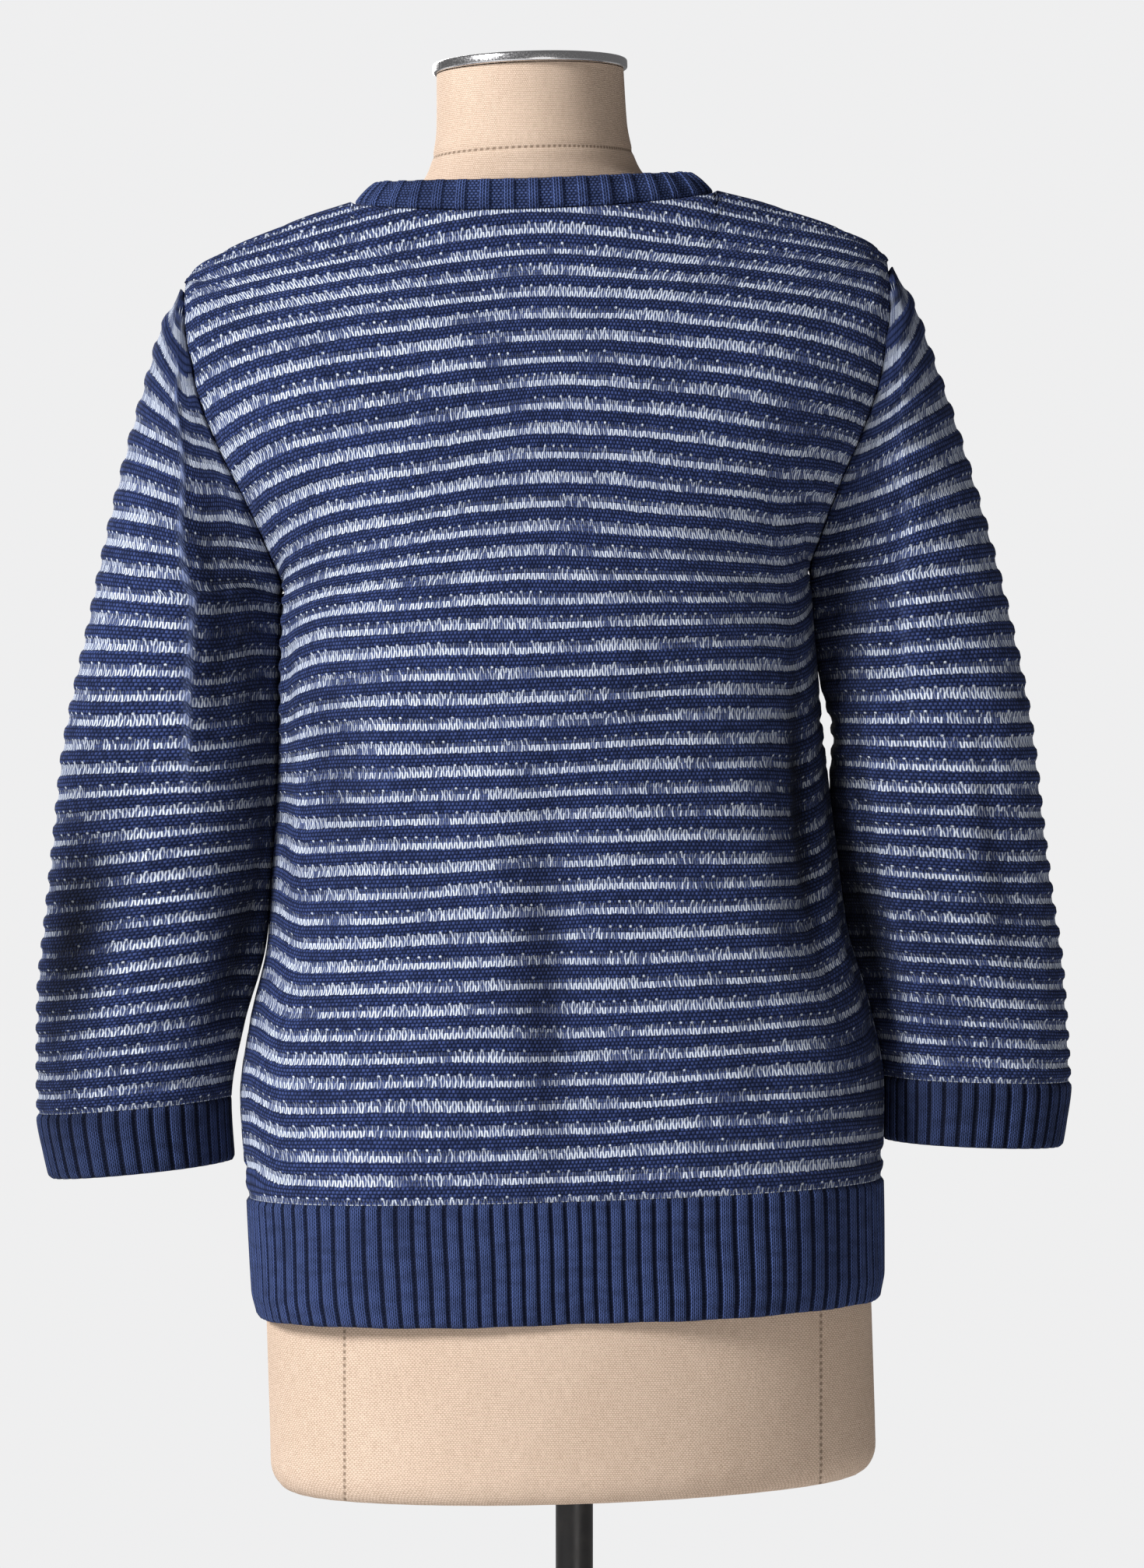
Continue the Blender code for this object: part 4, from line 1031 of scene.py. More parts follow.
def hem_rib(name, side, first, last, ribs):
    """One piece of the hem: ribs counted across, rows down from the panels."""
    count = 4 * (ribs * RIB_STEPS // 4) + 1
    place = np.linspace(first, last, count)
    rib = np.linspace(0, ribs, count)
    share = np.linspace(0, 1, HEM_ROWS)[:, None]
    level_low = HEM_Z + 0.0003 * np.sin(rib * 0.33) + 0.0002 * np.sin(rib * 1.3 + 1)
    z = level_low + (RIB_TOP_Z - 0.0001 - level_low) * share
    bent = place + 0.0016 * np.sin(share * 4 + rib * 0.31) * np.sin(math.pi * share)
    bent = np.clip(bent, min(first, last), max(first, last))
    inner = panel_points(side, bent, z)
    normal = body_normals(inner, side)
    ripple = 0.0006 * np.sin(rib * 0.47 + 3 * share) * (1 - share)
    drawn_in = 0.0022 * (1 - smoothstep(0.0, 0.22, share))
    inner = inner + normal * (overlap_lift(side, inner[..., 0]) + ripple - drawn_in)[..., None]
    rolled = edge_round(share, 0.04)
    thick = WALL * (0.75 + 0.25 * rolled) + rib_ridge(rib) * (0.45 + 0.55 * rolled)
    outer = inner + normal * thick[..., None]
    uv = np.stack([np.broadcast_to(rib, z.shape), (RIB_TOP_Z - z) / ROW_PITCH], axis=-1)
    return cloth_shell(name, outer, inner, uv)


hem_back = hem_rib("hem_back_rib", 1, -edge_place, edge_place, HEM_RIBS_BACK)
hem_left = hem_rib("hem_front_left_rib", -1, 1e-9, edge_place, HEM_RIBS_FRONT + 1)
hem_right = hem_rib("hem_front_right_rib", -1, -1e-9, -edge_place, HEM_RIBS_FRONT + 1)
print("hem ribs:", HEM_RIBS_BACK, "behind,", 2 * (HEM_RIBS_FRONT + 1), "in front")

# %% [markdown]
# ## Cuffs
#
# A cuff is a short closed tube of ribs under each sleeve.

# %% The cuffs
def cuff(name, hand, shades):
    """One cuff: its rows are measured down from the sleeve's last course."""
    count = CUFF_RIBS * RIB_STEPS + 1
    place = np.linspace(-1, 1, count)
    rib = np.linspace(0, CUFF_RIBS, count)
    share = np.linspace(0, 1, CUFF_ROWS + 1)[:, None]
    drop = -CUFF_HEIGHT + (CUFF_HEIGHT - 0.0001) * share
    top_share = np.sin(math.pi * np.abs(place) / 2) ** 2
    z = CUFF_TOP_OUTER_Z + (CUFF_TOP_INNER_Z - CUFF_TOP_OUTER_Z) * top_share + drop
    inner = sleeve_points(place, z)
    normal = cross_normals(sleeve_points, np.broadcast_to(place, z.shape), z)
    closed = smoothstep(0, 0.06, 1 - np.abs(place))
    ripple = 0.0007 * np.sin(rib * 0.55 + 2 * share) * (1 - share) * closed
    inner[..., 1] += swung(place, z)
    inner[..., 0] += hung(hand, place, z)
    inner = inner + normal * (ripple - fold_depth(SLEEVE_FOLDS, place, z))[..., None]
    rolled = edge_round(share, 0.10)
    ridge = pressed(rib_ridge(rib) * (0.45 + 0.55 * rolled), place, z)
    outer = inner + normal * (WALL * (0.75 + 0.25 * rolled) + ridge)[..., None]
    uv = np.stack([np.broadcast_to(rib, z.shape), -drop / ROW_PITCH + 0 * rib], axis=-1)
    mirror = np.array([hand, 1.0, 1.0])
    # Painted shade: the whole cuff is darkened by 0.30, and more under the listed shades
    painted_shade = np.clip(0.30 + fold_depth(shades, place, z), 0, 0.85)
    return cloth_shell(name, outer * mirror, inner * mirror, uv, {"painted_shade": painted_shade}, weld=CUFF_ROWS)


cuff_left = cuff("cuff_left_rib", 1.0, SLEEVE_SHADES)
cuff_right = cuff("cuff_right_rib", -1.0, RIGHT_SHADES)
print("cuff ribs:", CUFF_RIBS)

# %% [markdown]
# ## The neckband's line
#
# The band stands on the neckline from one front edge to the other. At each point it needs a
# way along the neck, a way up and a way out; the way up runs on from the panel below, turned out a
# little by an angle that changes round the neck, and is evened along the band.

# %% The neckline
def read_rows(at, known, rows):
    """Rows of three values read at new distances, on straight lines between the known ones."""
    return np.stack([np.interp(at, known, rows[:, i]) for i in range(3)], axis=1)


def corner_place(side):
    """The place across a panel of the column that ends at the neck's corner."""
    places = np.linspace(0.05, 0.95, 400)
    x = panel_points(side, places, TIP_Z)[:, 0]
    return float(np.interp(NECK_HALF_WIDTH, x, places))


def neck_edge(side, places, folds):
    """The inner points and outward normals along a panel's neckline."""
    top = top_z(side, places)
    inner = panel_points(side, places, top)
    inner[:, 1] += side * GAP * (np.abs(inner[:, 1]) < GAP)
    normal = body_normals(inner, side)
    lift = overlap_lift(side, inner[:, 0]) - fold_depth(folds, places, top)
    return inner + normal * lift[:, None], normal


def neckline():
    """The whole neckline, from the right front's edge round the back to the left front's."""
    behind = corner_place(1) * np.array([-1, -0.927, -0.73, -0.40, 0, 0.40, 0.73, 0.927, 1.0])
    ahead = corner_place(-1) * np.array([0.0, 0.33, 0.62, 0.86, 0.97])
    left = ahead.copy()
    left[0] = 1e-9
    right = -left
    parts = [
        neck_edge(-1, right, fold_mirror(FRONT_FOLDS, -1)),
        neck_edge(1, behind, BACK_FOLDS),
        tuple(part[::-1] for part in neck_edge(-1, left, FRONT_FOLDS)),
    ]
    return np.concatenate([p[0] for p in parts]), np.concatenate([p[1] for p in parts])


def neckband_frames(base, seat, steps):
    """Starts, ways up and ways out along the band, evened by a (1, 2, 1) / 4 average."""
    run = np.concatenate([[0], np.cumsum(np.linalg.norm(np.diff(base, axis=0), axis=1))])
    s = np.linspace(0, run[-1], steps)
    at = read_rows(s, run, base)
    body = unit(read_rows(s, run, seat))
    tangent = unit(np.gradient(at, axis=0))
    sideways = np.ones_like(at)
    sideways[:, 0] = smoothstep(0.0, BAND_END_LENGTH, np.minimum(s, run[-1] - s))
    inward = np.cross(body, tangent) * sideways
    inward = unit(inward * np.sign(inward[:, 2:]))
    bearing = np.degrees(np.arctan2(np.abs(at[:, 0]), at[:, 1]))
    lift = np.radians(np.interp(bearing, [0, 90, 180], NECKBAND_LIFTS))[:, None]
    up = np.cos(lift) * inward + np.sin(lift) * body
    for _ in range(EVENING_PASSES):
        up[1:-1] = (up[:-2] + 2 * up[1:-1] + up[2:]) / 4
    up = unit(up)
    out = unit(body - up * (body * up).sum(axis=1, keepdims=True))
    across = np.cross(body + out, tangent)
    across = unit(across * np.sign(across[:, 2:])) * sideways
    inset = ((body - out) * across).sum(axis=1, keepdims=True)
    start = at + across * (NECKBAND_GAP + WALL * np.maximum(inset, 0.0))
    return s, start, up, out


# %% [markdown]
# The frames are worked out at the ribs' own spacing, as the solid's are, and then read between
# them for the fine grid.

# %% The neckband
NECKBAND_SHOWN = 0.0180
NECK_RIB_STEPS = 16
NECKBAND_ROWS = 16


def neck_ridge(rib):
    """Two raised plain stitches in each 14 mm, on a low purl ground."""
    t = rib - np.floor(rib)
    wide = smoothstep(0.25, 0.33, t) * (1 - smoothstep(0.67, 0.75, t))
    pair = np.abs(np.sin(math.pi * np.clip((t - 0.27) / 0.46, 0, 1) * 2))
    return RIB_SHOWN * wide * (0.8 + 0.2 * pair)


def neckband(name):
    """The band's shell, with a slightly rolled upper edge."""
    base, seat = neckline()
    length = np.linalg.norm(np.diff(base, axis=0), axis=1).sum()
    ribs = int(round(length / NECKBAND_RIB_PITCH))
    s, start, up, out = neckband_frames(base, seat, 2 * ribs + 1)
    cols = ribs * NECK_RIB_STEPS + 1
    fine = np.linspace(0, s[-1], cols)
    start = read_rows(fine, s, start)
    up = unit(read_rows(fine, s, up))
    out = unit(read_rows(fine, s, out))
    rib = np.linspace(0, ribs, cols)
    share = np.linspace(0, 1, NECKBAND_ROWS + 1)[:, None]
    inner = start + (share * NECKBAND_SHOWN - 0.0006)[..., None] * up
    rolled = edge_round(share, 0.14)
    plump = 0.0011 * np.sin(math.pi * share)
    thick = WALL * (0.7 + 0.3 * rolled) + plump + neck_ridge(rib) * (0.35 + 0.65 * rolled)
    outer = inner + thick[..., None] * out
    rows = share * NECKBAND_SHOWN / ROW_PITCH + 0 * rib
    uv = np.stack([np.broadcast_to(rib, thick.shape), rows], axis=-1)
    print("neckband length:", round(float(s[-1]), 3), "ribs:", ribs)
    return cloth_shell(name, outer, inner, uv)


neck_rib = neckband("neckband_rib")

# %% [markdown]
# ## Front bands and buttons
#
# The two bands close the front, the right over the left. Both follow the middle line of the
# front, and the buttons lie flat on the upper one.

# %% The front bands
BAND_ROWS = 200
BAND_RIDGE_SHARE = 0.8


def band_path():
    """The front bands' middle line and its normals, from the hem to the neckband's top."""
    z = np.append(np.linspace(HEM_Z, NECK_FRONT_Z, 15), NECK_FRONT_Z)
    depth = along(BODY, "front", z)
    line = np.stack([0 * z, -depth, z], axis=-1)
    body = body_normals(line[-1], -1)
    up = np.array([0.0, -body[2], body[1]]) * -1
    lift = math.radians(NECKBAND_LIFTS[-1])
    line[-1] += (math.cos(lift) * up + math.sin(lift) * body) * NECKBAND_HEIGHT
    slope = np.gradient(line, axis=0)
    normal = unit(np.stack([0 * z, -slope[:, 2], slope[:, 1]], axis=-1))
    return line, normal


def front_band(name, lift):
    """One band's shell: three ribs across, rows up the front."""
    line, normal = band_path()
    run = np.concatenate([[0], np.cumsum(np.linalg.norm(np.diff(line, axis=0), axis=1))])
    up = np.linspace(0, run[-1], BAND_ROWS + 1)
    middle = read_rows(up, run, line)
    face = unit(read_rows(up, run, normal))
    across = np.linspace(-BAND_HALF_WIDTH, BAND_HALF_WIDTH, BAND_RIBS * RIB_STEPS + 1)
    rib = np.linspace(0, BAND_RIBS, len(across))
    sideways = np.stack([across, 0 * across, 0 * across], axis=-1)
    inner = middle[:, None] + sideways + face[:, None] * lift
    ridge = rib_ridge(rib) * (BAND_RIDGE_SHARE if lift > 0 else 0.0)
    outer = inner + face[:, None] * (WALL + ridge)[..., None]
    shape = inner.shape[:2]
    rows = np.broadcast_to(up[:, None] / ROW_PITCH, shape)
    uv = np.stack([np.broadcast_to(rib, shape), rows], axis=-1)
    return cloth_shell(name, outer, inner, uv)


band_left = front_band("band_left_rib", 0.0)
band_right = front_band("band_right_rib", OVERLAP_LIFT)
print("bands:", len(band_left.data.vertices), "points each")

# %% [markdown]
# A button is turned: a low rim, a dished middle and four holes. The dish is a ring of points
# that dips, and each hole is painted shade: a thin near-black disc laid on the dish.

# %% The buttons
# The button's section: shares of its radius and of its thickness, from its back to its middle
BUTTON_SECTION = (
    (0.86, 0.0),
    (1.0, 0.3),
    (1.0, 0.6),
    (0.95, 0.86),
    (0.88, 1.0),
    (0.78, 0.98),
    (0.70, 0.72),
    (0.55, 0.62),
    (0.02, 0.60),
)
HOLES = 4
HOLE_AWAY = 0.0019
HOLE_LEVEL = 0.62
FIRST_BUTTON_UP = 0.020
LAST_BUTTON_DOWN = 0.018


def button(name, height):
    """One button at a height on the right band, from rings about its axis."""
    line, normal = band_path()
    y = np.interp(height, line[:, 2], line[:, 1])
    face = unit(np.array([np.interp(height, line[:, 2], normal[:, i]) for i in range(3)]))
    up = np.cross(face, np.array([1.0, 0.0, 0.0]))
    turn = np.linspace(0, 2 * math.pi, 48, endpoint=False)
    around = np.outer(np.cos(turn), np.array([1.0, 0.0, 0.0])) + np.outer(np.sin(turn), up)
    seat = OVERLAP_LIFT + WALL + RIB_HEIGHT + GAP
    rings = []
    for radius, level in BUTTON_SECTION:
        middle = np.array([0.0, y, height]) + face * (seat + BUTTON_THICKNESS * level)
        rings.append(lean(middle + around * BUTTON_RADIUS * radius))
    disc = ring_shell(name, rings)
    # Painted shade: each hole is a thin dark disc on the dish
    hole_shade_discs = []
    for k in range(HOLES):
        way = math.pi / 4 + k * math.pi / 2
        spot = math.cos(way) * np.array([1.0, 0.0, 0.0]) + math.sin(way) * up
        lift = seat + BUTTON_THICKNESS * HOLE_LEVEL
        middle = np.array([0.0, y, height]) + face * lift + spot * HOLE_AWAY
        rims = [middle + around[::4] * 0.0008, middle + face * 0.00006 + around[::4] * 0.0007]
        hole_shade_discs.append(ring_shell(f"{name}_hole_{k + 1}", [lean(r) for r in rims]))
    return disc, hole_shade_discs


heights = np.linspace(HEM_Z + FIRST_BUTTON_UP, NECK_FRONT_Z - LAST_BUTTON_DOWN, BUTTON_COUNT)
buttons = [button(f"button_{k + 1}_turned", h) for k, h in enumerate(heights)]
print("buttons:", len(buttons))

# %% [markdown]
# ## The dress form and its stand
#
# A tailor's form is a padded torso under a tight linen cover. Here it is one smooth surface
# through the same sections as the cloth, a few millimetres inside it, with a pinch where the
# neck piece is sewn on and a gathered lower edge. A metal cap closes the neck.

# %% The dress form
FORM_TURNS = 160
NECK_SEAM_Z = 1.3665
LOW_EDGE_TOP_Z = 0.618
LOW_EDGE_HEIGHT = 0.018
LOW_EDGE_SHARE = 0.92
GATHERS = 46


def form_half(name, body_name, z):
    """A half size of the form: the body's less the ease, and above the shoulders the neck's."""
    under_cloth = along(BODY, body_name, z) - along(FORM_EASE, name, z)
    return np.where(z >= FORM_NECK["z"][0], along(FORM_NECK, name, z), under_cloth)


def form_surface():
    """Rings up the form. Its lower edge is rounded: a share of the size, s + (1 - s) sqrt(1 - t^2)."""
    low = 0.5 * (1 - np.cos(np.linspace(0, math.pi / 2, 10))) * LOW_EDGE_HEIGHT
    torso = np.linspace(0.6365, 1.32, 120)
    neck = np.linspace(1.3225, 1.4139, 74)
    z = np.concatenate([FORM_BOTTOM_Z + low * 2, torso, neck])[:, None]
    turn = np.linspace(0, 2 * math.pi, FORM_TURNS, endpoint=False)
    behind = np.sin(turn) >= 0
    side = form_half("side", "edge", z)
    back_depth = form_half("back", "back", z)
    front_depth = form_half("front", "front", z)
    under = (LOW_EDGE_TOP_Z - z) / LOW_EDGE_HEIGHT
    edge_size = LOW_EDGE_SHARE + (1 - LOW_EDGE_SHARE) * np.sqrt(np.clip(1 - under**2, 0, 1))
    size = np.where(z < LOW_EDGE_TOP_Z, edge_size, 1.0)
    gather = 1 + 0.0022 * np.sin(turn * GATHERS) * smoothstep(0.630, 0.606, z)
    pinch = 1 - 0.012 * gaussian(z - NECK_SEAM_Z, 0.0018)
    x = side * np.cos(turn) * size * gather * pinch
    y = np.where(behind, back_depth, front_depth) * np.sin(turn) * size * gather * pinch
    return np.stack([x, y, z + 0 * x], axis=-1)


form = ring_shell("form_cover", list(lean(form_surface())))


def circle(radius, z, count=96):
    """A level ring of points round the pole's axis."""
    turn = np.linspace(0, 2 * math.pi, count, endpoint=False)
    return np.stack([radius * np.cos(turn), radius * np.sin(turn), 0 * turn + z], axis=-1)


def rounded(radius, z, edge, start, end):
    """Rings round a quarter turn of an edge: radius + edge cos(a), z + edge sin(a)."""
    angles = np.radians(np.linspace(start, end, 6))
    return [circle(radius + edge * math.cos(a), z + edge * math.sin(a)) for a in angles]


CAP_EDGE_RADIUS = 0.0014
edge = CAP_EDGE_RADIUS
cap_rings = rounded(CAP_RADIUS - edge, FORM_NECK_TOP_Z + GAP + edge, edge, -90, 0)
cap_rings += rounded(CAP_RADIUS - edge, CAP_TOP_Z - edge, edge, 0, 90)
cap = ring_shell("chrome_cap", [lean(r) for r in cap_rings])

# %% [markdown]
# The pole stands in the base's hub. The base is a flat cast disc with a rounded rim.

# %% The stand
HUB_EDGE_RADIUS = 0.003
FOOT_SETBACK = 0.003
# The hollow round the hub's foot: how far out from the hub, and how far above the disc
HUB_FOOT = (
    (0.003, 0.0006),
    (0.0008, 0.0020),
    (0.0, 0.005),
)

slant = POLE_RADIUS * math.sin(math.radians(LEAN_DEG))
pole_ends = (HUB_HEIGHT + GAP, FORM_BOTTOM_Z - GAP - slant)
pole = ring_shell("pole_tube", [circle(POLE_RADIUS, z) for z in pole_ends])
edge = BASE_EDGE_RADIUS
base_rings = [circle(BASE_RADIUS - FOOT_SETBACK, 0.0)]
base_rings += rounded(BASE_RADIUS - edge, BASE_THICKNESS - edge, edge, 0, 90)
base_rings += [circle(HUB_RADIUS + away, BASE_THICKNESS + up) for away, up in HUB_FOOT]
edge = HUB_EDGE_RADIUS
base_rings += rounded(HUB_RADIUS - edge, HUB_HEIGHT - edge, edge, 0, 90)
base = ring_shell("cast_base", base_rings)
print("form:", len(form.data.polygons), "faces; base:", len(base.data.polygons))

# %% [markdown]
# # Materials
#
# Each material is a formula of stitch coordinates: U counts stitches across (wales) and V counts
# pattern repeats up (courses). A small helper keeps the formulas short; each of its calls
# adds one node and returns its output.

# %% A helper for node formulas
class Sketch:
    """Adds nodes to a tree. A value given to a call may be a number, a colour or an output."""

    def __init__(self, tree):
        self.tree = tree

    def feed(self, socket, value):
        """Links an output to a socket, or sets the socket's own value."""
        if isinstance(value, bpy.types.NodeSocket):
            self.tree.links.new(value, socket)
        else:
            socket.default_value = value

    def add(self, kind, inputs=None, **settings):
        """Adds a node with its settings and inputs."""
        node = self.tree.nodes.new(kind)
        for key, value in settings.items():
            setattr(node, key, value)
        for key, value in (inputs or {}).items():
            self.feed(node.inputs[key], value)
        return node

    def math(self, operation, a, b=None, c=None):
        """One Math node."""
        given = {i: v for i, v in enumerate((a, b, c)) if v is not None}
        return self.add("ShaderNodeMath", given, operation=operation).outputs[0]

    def plus(self, a, b):
        """The sum of two values."""
        return self.math("ADD", a, b)

    def minus(self, a, b):
        """The first value less the second."""
        return self.math("SUBTRACT", a, b)

    def times(self, a, b):
        """The product of two values."""
        return self.math("MULTIPLY", a, b)

    def scaled(self, value, by, more):
        """A value times by, plus more."""
        return self.math("MULTIPLY_ADD", value, by, more)

    def whole(self, value):
        """The value rounded down."""
        return self.math("FLOOR", value)

    def fraction(self, value):
        """What the value has beyond its whole part."""
        return self.math("FRACT", value)

    def size(self, value):
        """The value without its sign."""
        return self.math("ABSOLUTE", value)

    def smooth(self, value, low, high, start=0.0, end=1.0):
        """start below low, end above high, and a smooth step between."""
        given = {0: value, 1: low, 2: high, 3: start, 4: end}
        return self.add("ShaderNodeMapRange", given, interpolation_type="SMOOTHSTEP").outputs[0]

    def mix(self, factor, a, b, blend="MIX"):
        """A colour between two colours."""
        node = self.add("ShaderNodeMix", {0: factor, 6: a, 7: b}, data_type="RGBA", blend_type=blend)
        return node.outputs[2]

    def vector(self, x, y, z=0.0):
        """A vector from three values."""
        return self.add("ShaderNodeCombineXYZ", {0: x, 1: y, 2: z}).outputs[0]

    def split(self, vector):
        """The three values of a vector."""
        return self.add("ShaderNodeSeparateXYZ", {0: vector}).outputs

    def noise(self, vector, scale=1.0, detail=2.0, rough=0.5):
        """Soft noise from 0 to 1."""
        given = {"Vector": vector, "Scale": scale, "Detail": detail, "Roughness": rough}
        return self.add("ShaderNodeTexNoise", given).outputs[0]

    def random(self, vector):
        """An even random value for each whole vector."""
        return self.add("ShaderNodeTexWhiteNoise", {"Vector": vector}, noise_dimensions="3D").outputs[0]

    def place(self):
        """The point's own place on the object, in metres."""
        return self.add("ShaderNodeTexCoord").outputs["Object"]

    def stitches(self):
        """The stitch coordinates: wales across and courses up."""
        return self.add("ShaderNodeUVMap", uv_map="Stitches").outputs[0]

    def stored(self, name):
        """A value that the mesh carries at its points."""
        return self.add("ShaderNodeAttribute", attribute_name=name).outputs["Fac"]

    def bump(self, strength, distance, height):
        """A normal bent by a height."""
        given = {"Strength": strength, "Distance": distance, "Height": height}
        return self.add("ShaderNodeBump", given).outputs[0]


def new_group(name, inputs, outputs):
    """A node group. Its sockets are all values."""
    tree = bpy.data.node_groups.new(name, "ShaderNodeTree")
    for key in inputs:
        tree.interface.new_socket(name=key, in_out="INPUT", socket_type="NodeSocketFloat")
    for key in outputs:
        tree.interface.new_socket(name=key, in_out="OUTPUT", socket_type="NodeSocketFloat")
    draw = Sketch(tree)
    return tree, draw, draw.add("NodeGroupInput").outputs, draw.add("NodeGroupOutput").inputs


def new_material(name, roughness, sheen=0.0, sheen_tint=(1, 1, 1, 1), specular=0.5):
    """A material with a Principled BSDF, its constants set on the shader's own sockets."""
    material = bpy.data.materials.new(name)
    material.use_nodes = True
    shader = material.node_tree.nodes["Principled BSDF"]
    shader.inputs["Roughness"].default_value = roughness
    shader.inputs["Specular IOR Level"].default_value = specular
    shader.inputs["Sheen Weight"].default_value = sheen
    shader.inputs["Sheen Roughness"].default_value = 0.5
    shader.inputs["Sheen Tint"].default_value = sheen_tint
    return material, Sketch(material.node_tree), shader.inputs


# %% [markdown]
# ## Groups that several materials share
#
# A plain stitch is a V: two legs of yarn that part as they rise. A purl bump is the same loop
# seen from behind, a small lump that sits between the lumps of the row below, like bricks. Yarn
# is never even, so fibre noise and slow patches of tone go over both.

# %% Stitch and yarn groups
LUMPS_PER_WALE = 1.35

plain_stitch, draw, given, out = new_group("Plain Stitch", ["Wale", "Height", "Width"], ["Leg"])
across = draw.size(draw.minus(draw.fraction(given["Wale"]), 0.5))
middle = draw.scaled(given["Height"], 0.17, 0.16)
off = draw.size(draw.minus(across, middle))
draw.feed(out["Leg"], draw.smooth(off, draw.times(given["Width"], 0.40), given["Width"], 1.0, 0.0))

purl_bump, draw, given, out = new_group("Purl Bump", ["Wale", "Row"], ["Lump", "Tone"])
row = draw.whole(given["Row"])
shift = draw.times(draw.math("PINGPONG", row, 1.0), 0.5)
place = draw.plus(draw.times(given["Wale"], LUMPS_PER_WALE), shift)
side_round = draw.math("SINE", draw.times(draw.fraction(place), math.pi))
up_round = draw.math("SINE", draw.times(draw.fraction(given["Row"]), math.pi))
draw.feed(out["Lump"], draw.times(side_round, up_round))
draw.feed(out["Tone"], draw.random(draw.vector(draw.whole(place), row, 3.0)))

yarn, draw, given, out = new_group("Yarn", [], ["Fibre", "Patch"])
spot = draw.place()
draw.feed(out["Fibre"], draw.noise(spot, 2200.0, 3.0, 0.7))
draw.feed(out["Patch"], draw.noise(spot, 26.0, 3.0, 0.6))


def use_group(draw, tree, inputs=None):
    """Adds a group's node and returns its outputs."""
    node = draw.add("ShaderNodeGroup", node_tree=tree)
    for key, value in (inputs or {}).items():
        draw.feed(node.inputs[key], value)
    return node.outputs


print("groups:", [g.name for g in bpy.data.node_groups])

# %% [markdown]
# ## The striped knit
#
# In the photograph each white stripe is two rows. In the lower one the legs of the stitches
# close as they rise, like a row of the letter A; in the upper one they open again, fainter. The
# white is a marled yarn, so for a hand's width it is bright and then it nearly vanishes, in
# each row by itself. Small white specks stand over the upper edge at every second wale, where
# the white is held behind a navy stitch. Where shade is painted, less white shows and the whole
# colour is darkened.

# %% Striped knit
# NAVY_LIT and NAVY_DARK are lit and shaded copies of one navy: each purl lump is painted lit on its crown
# and in shade at its foot. YARN_SHADE is painted shade in the gaps between the white stitches' legs.
NAVY_DARK = (0.0040, 0.0075, 0.026, 1)
NAVY_LIT = (0.055, 0.086, 0.255, 1)
YARN_WHITE = (0.80, 0.88, 1.0, 1)
YARN_SHADE = (0.075, 0.108, 0.265, 1)
YARN_STRETCHED = (0.28, 0.36, 0.66, 1)

# The white rows' edges and the specks, in shares of a course from the white's middle
ROW_LOW = -0.225
ROW_SPLIT = 0.045
ROW_HIGH = 0.245
SPECK_V = 0.278
SPECKS_LEFT_OUT = 0.42
MARL_WALES = 16.0
PURL_ROWS = 6.4

knit, draw, shader = new_material("striped_knit", 0.95, 0.04, (0.55, 0.65, 1.0, 1), 0.12)
u, v, _ = draw.split(draw.stitches())
stretch = draw.stored("stretch")
painted_shade = draw.stored("painted_shade")
fuzz = use_group(draw, yarn)
row = draw.whole(draw.plus(v, 0.5))
t = draw.minus(v, row)
is_upper = draw.math("GREATER_THAN", t, ROW_SPLIT)
rise = draw.math("DIVIDE", draw.minus(t, ROW_SPLIT), ROW_HIGH - ROW_SPLIT)
fall = draw.math("DIVIDE", draw.minus(ROW_SPLIT, t), ROW_SPLIT - ROW_LOW)
strand = draw.scaled(row, 2.0, is_upper)
each = draw.random(draw.vector(draw.whole(draw.times(u, 2.0)), strand, 1.0))
edge_at = draw.scaled(each, 0.055, 0.195)
# Painted shade: where the stored shade is high, the white rows narrow here and their cover thins below, so
# less white shows
edge_at = draw.scaled(painted_shade, -0.06, edge_at)
from_middle = draw.size(draw.minus(t, (ROW_LOW + ROW_HIGH) / 2))
inside = draw.smooth(draw.minus(from_middle, edge_at), -0.012, 0.022, 1.0, 0.0)
marl = draw.vector(draw.math("DIVIDE", u, MARL_WALES), draw.times(strand, 3.71), 0.0)
marl = draw.noise(marl, 1.0, 3.0, 0.6)
least = draw.scaled(painted_shade, 0.16, draw.scaled(is_upper, 0.115, 0.335))
cover = draw.smooth(draw.minus(marl, least), -0.12, 0.22)
fleck = draw.random(draw.vector(draw.whole(draw.times(u, 2.0)), strand, 9.0))
full = draw.scaled(draw.minus(fleck, 0.55), 0.95, cover)
full = draw.smooth(full, 0.02, 1.05, 0.10, 1.0)
width = draw.scaled(full, 0.13, 0.095)
height = draw.math("MAXIMUM", rise, fall)
leg = use_group(draw, plain_stitch, {"Wale": u, "Height": height, "Width": width})["Leg"]
white = draw.times(draw.times(leg, inside), full)
white = draw.times(white, draw.scaled(is_upper, -0.22, 1.0))
# Painted shade in the gaps between the white legs
near = draw.times(draw.times(inside, cover), draw.scaled(is_upper, -0.30, 0.75))
every_second = draw.math("DIVIDE", u, 2.0)
speck_x = draw.times(draw.size(draw.minus(draw.fraction(every_second), 0.5)), 2.0)
speck_y = draw.times(draw.minus(t, SPECK_V), 5.0)
reach = draw.math("SQRT", draw.plus(draw.math("POWER", speck_x, 2.0), draw.math("POWER", speck_y, 2.0)))
chance = draw.random(draw.vector(draw.whole(every_second), row, 5.0))
chosen = draw.math("GREATER_THAN", chance, SPECKS_LEFT_OUT)
speck = draw.times(draw.smooth(reach, 0.14, 0.34, 0.85, 0.0), chosen)
purl = use_group(draw, purl_bump, {"Wale": u, "Row": draw.times(v, PURL_ROWS)})
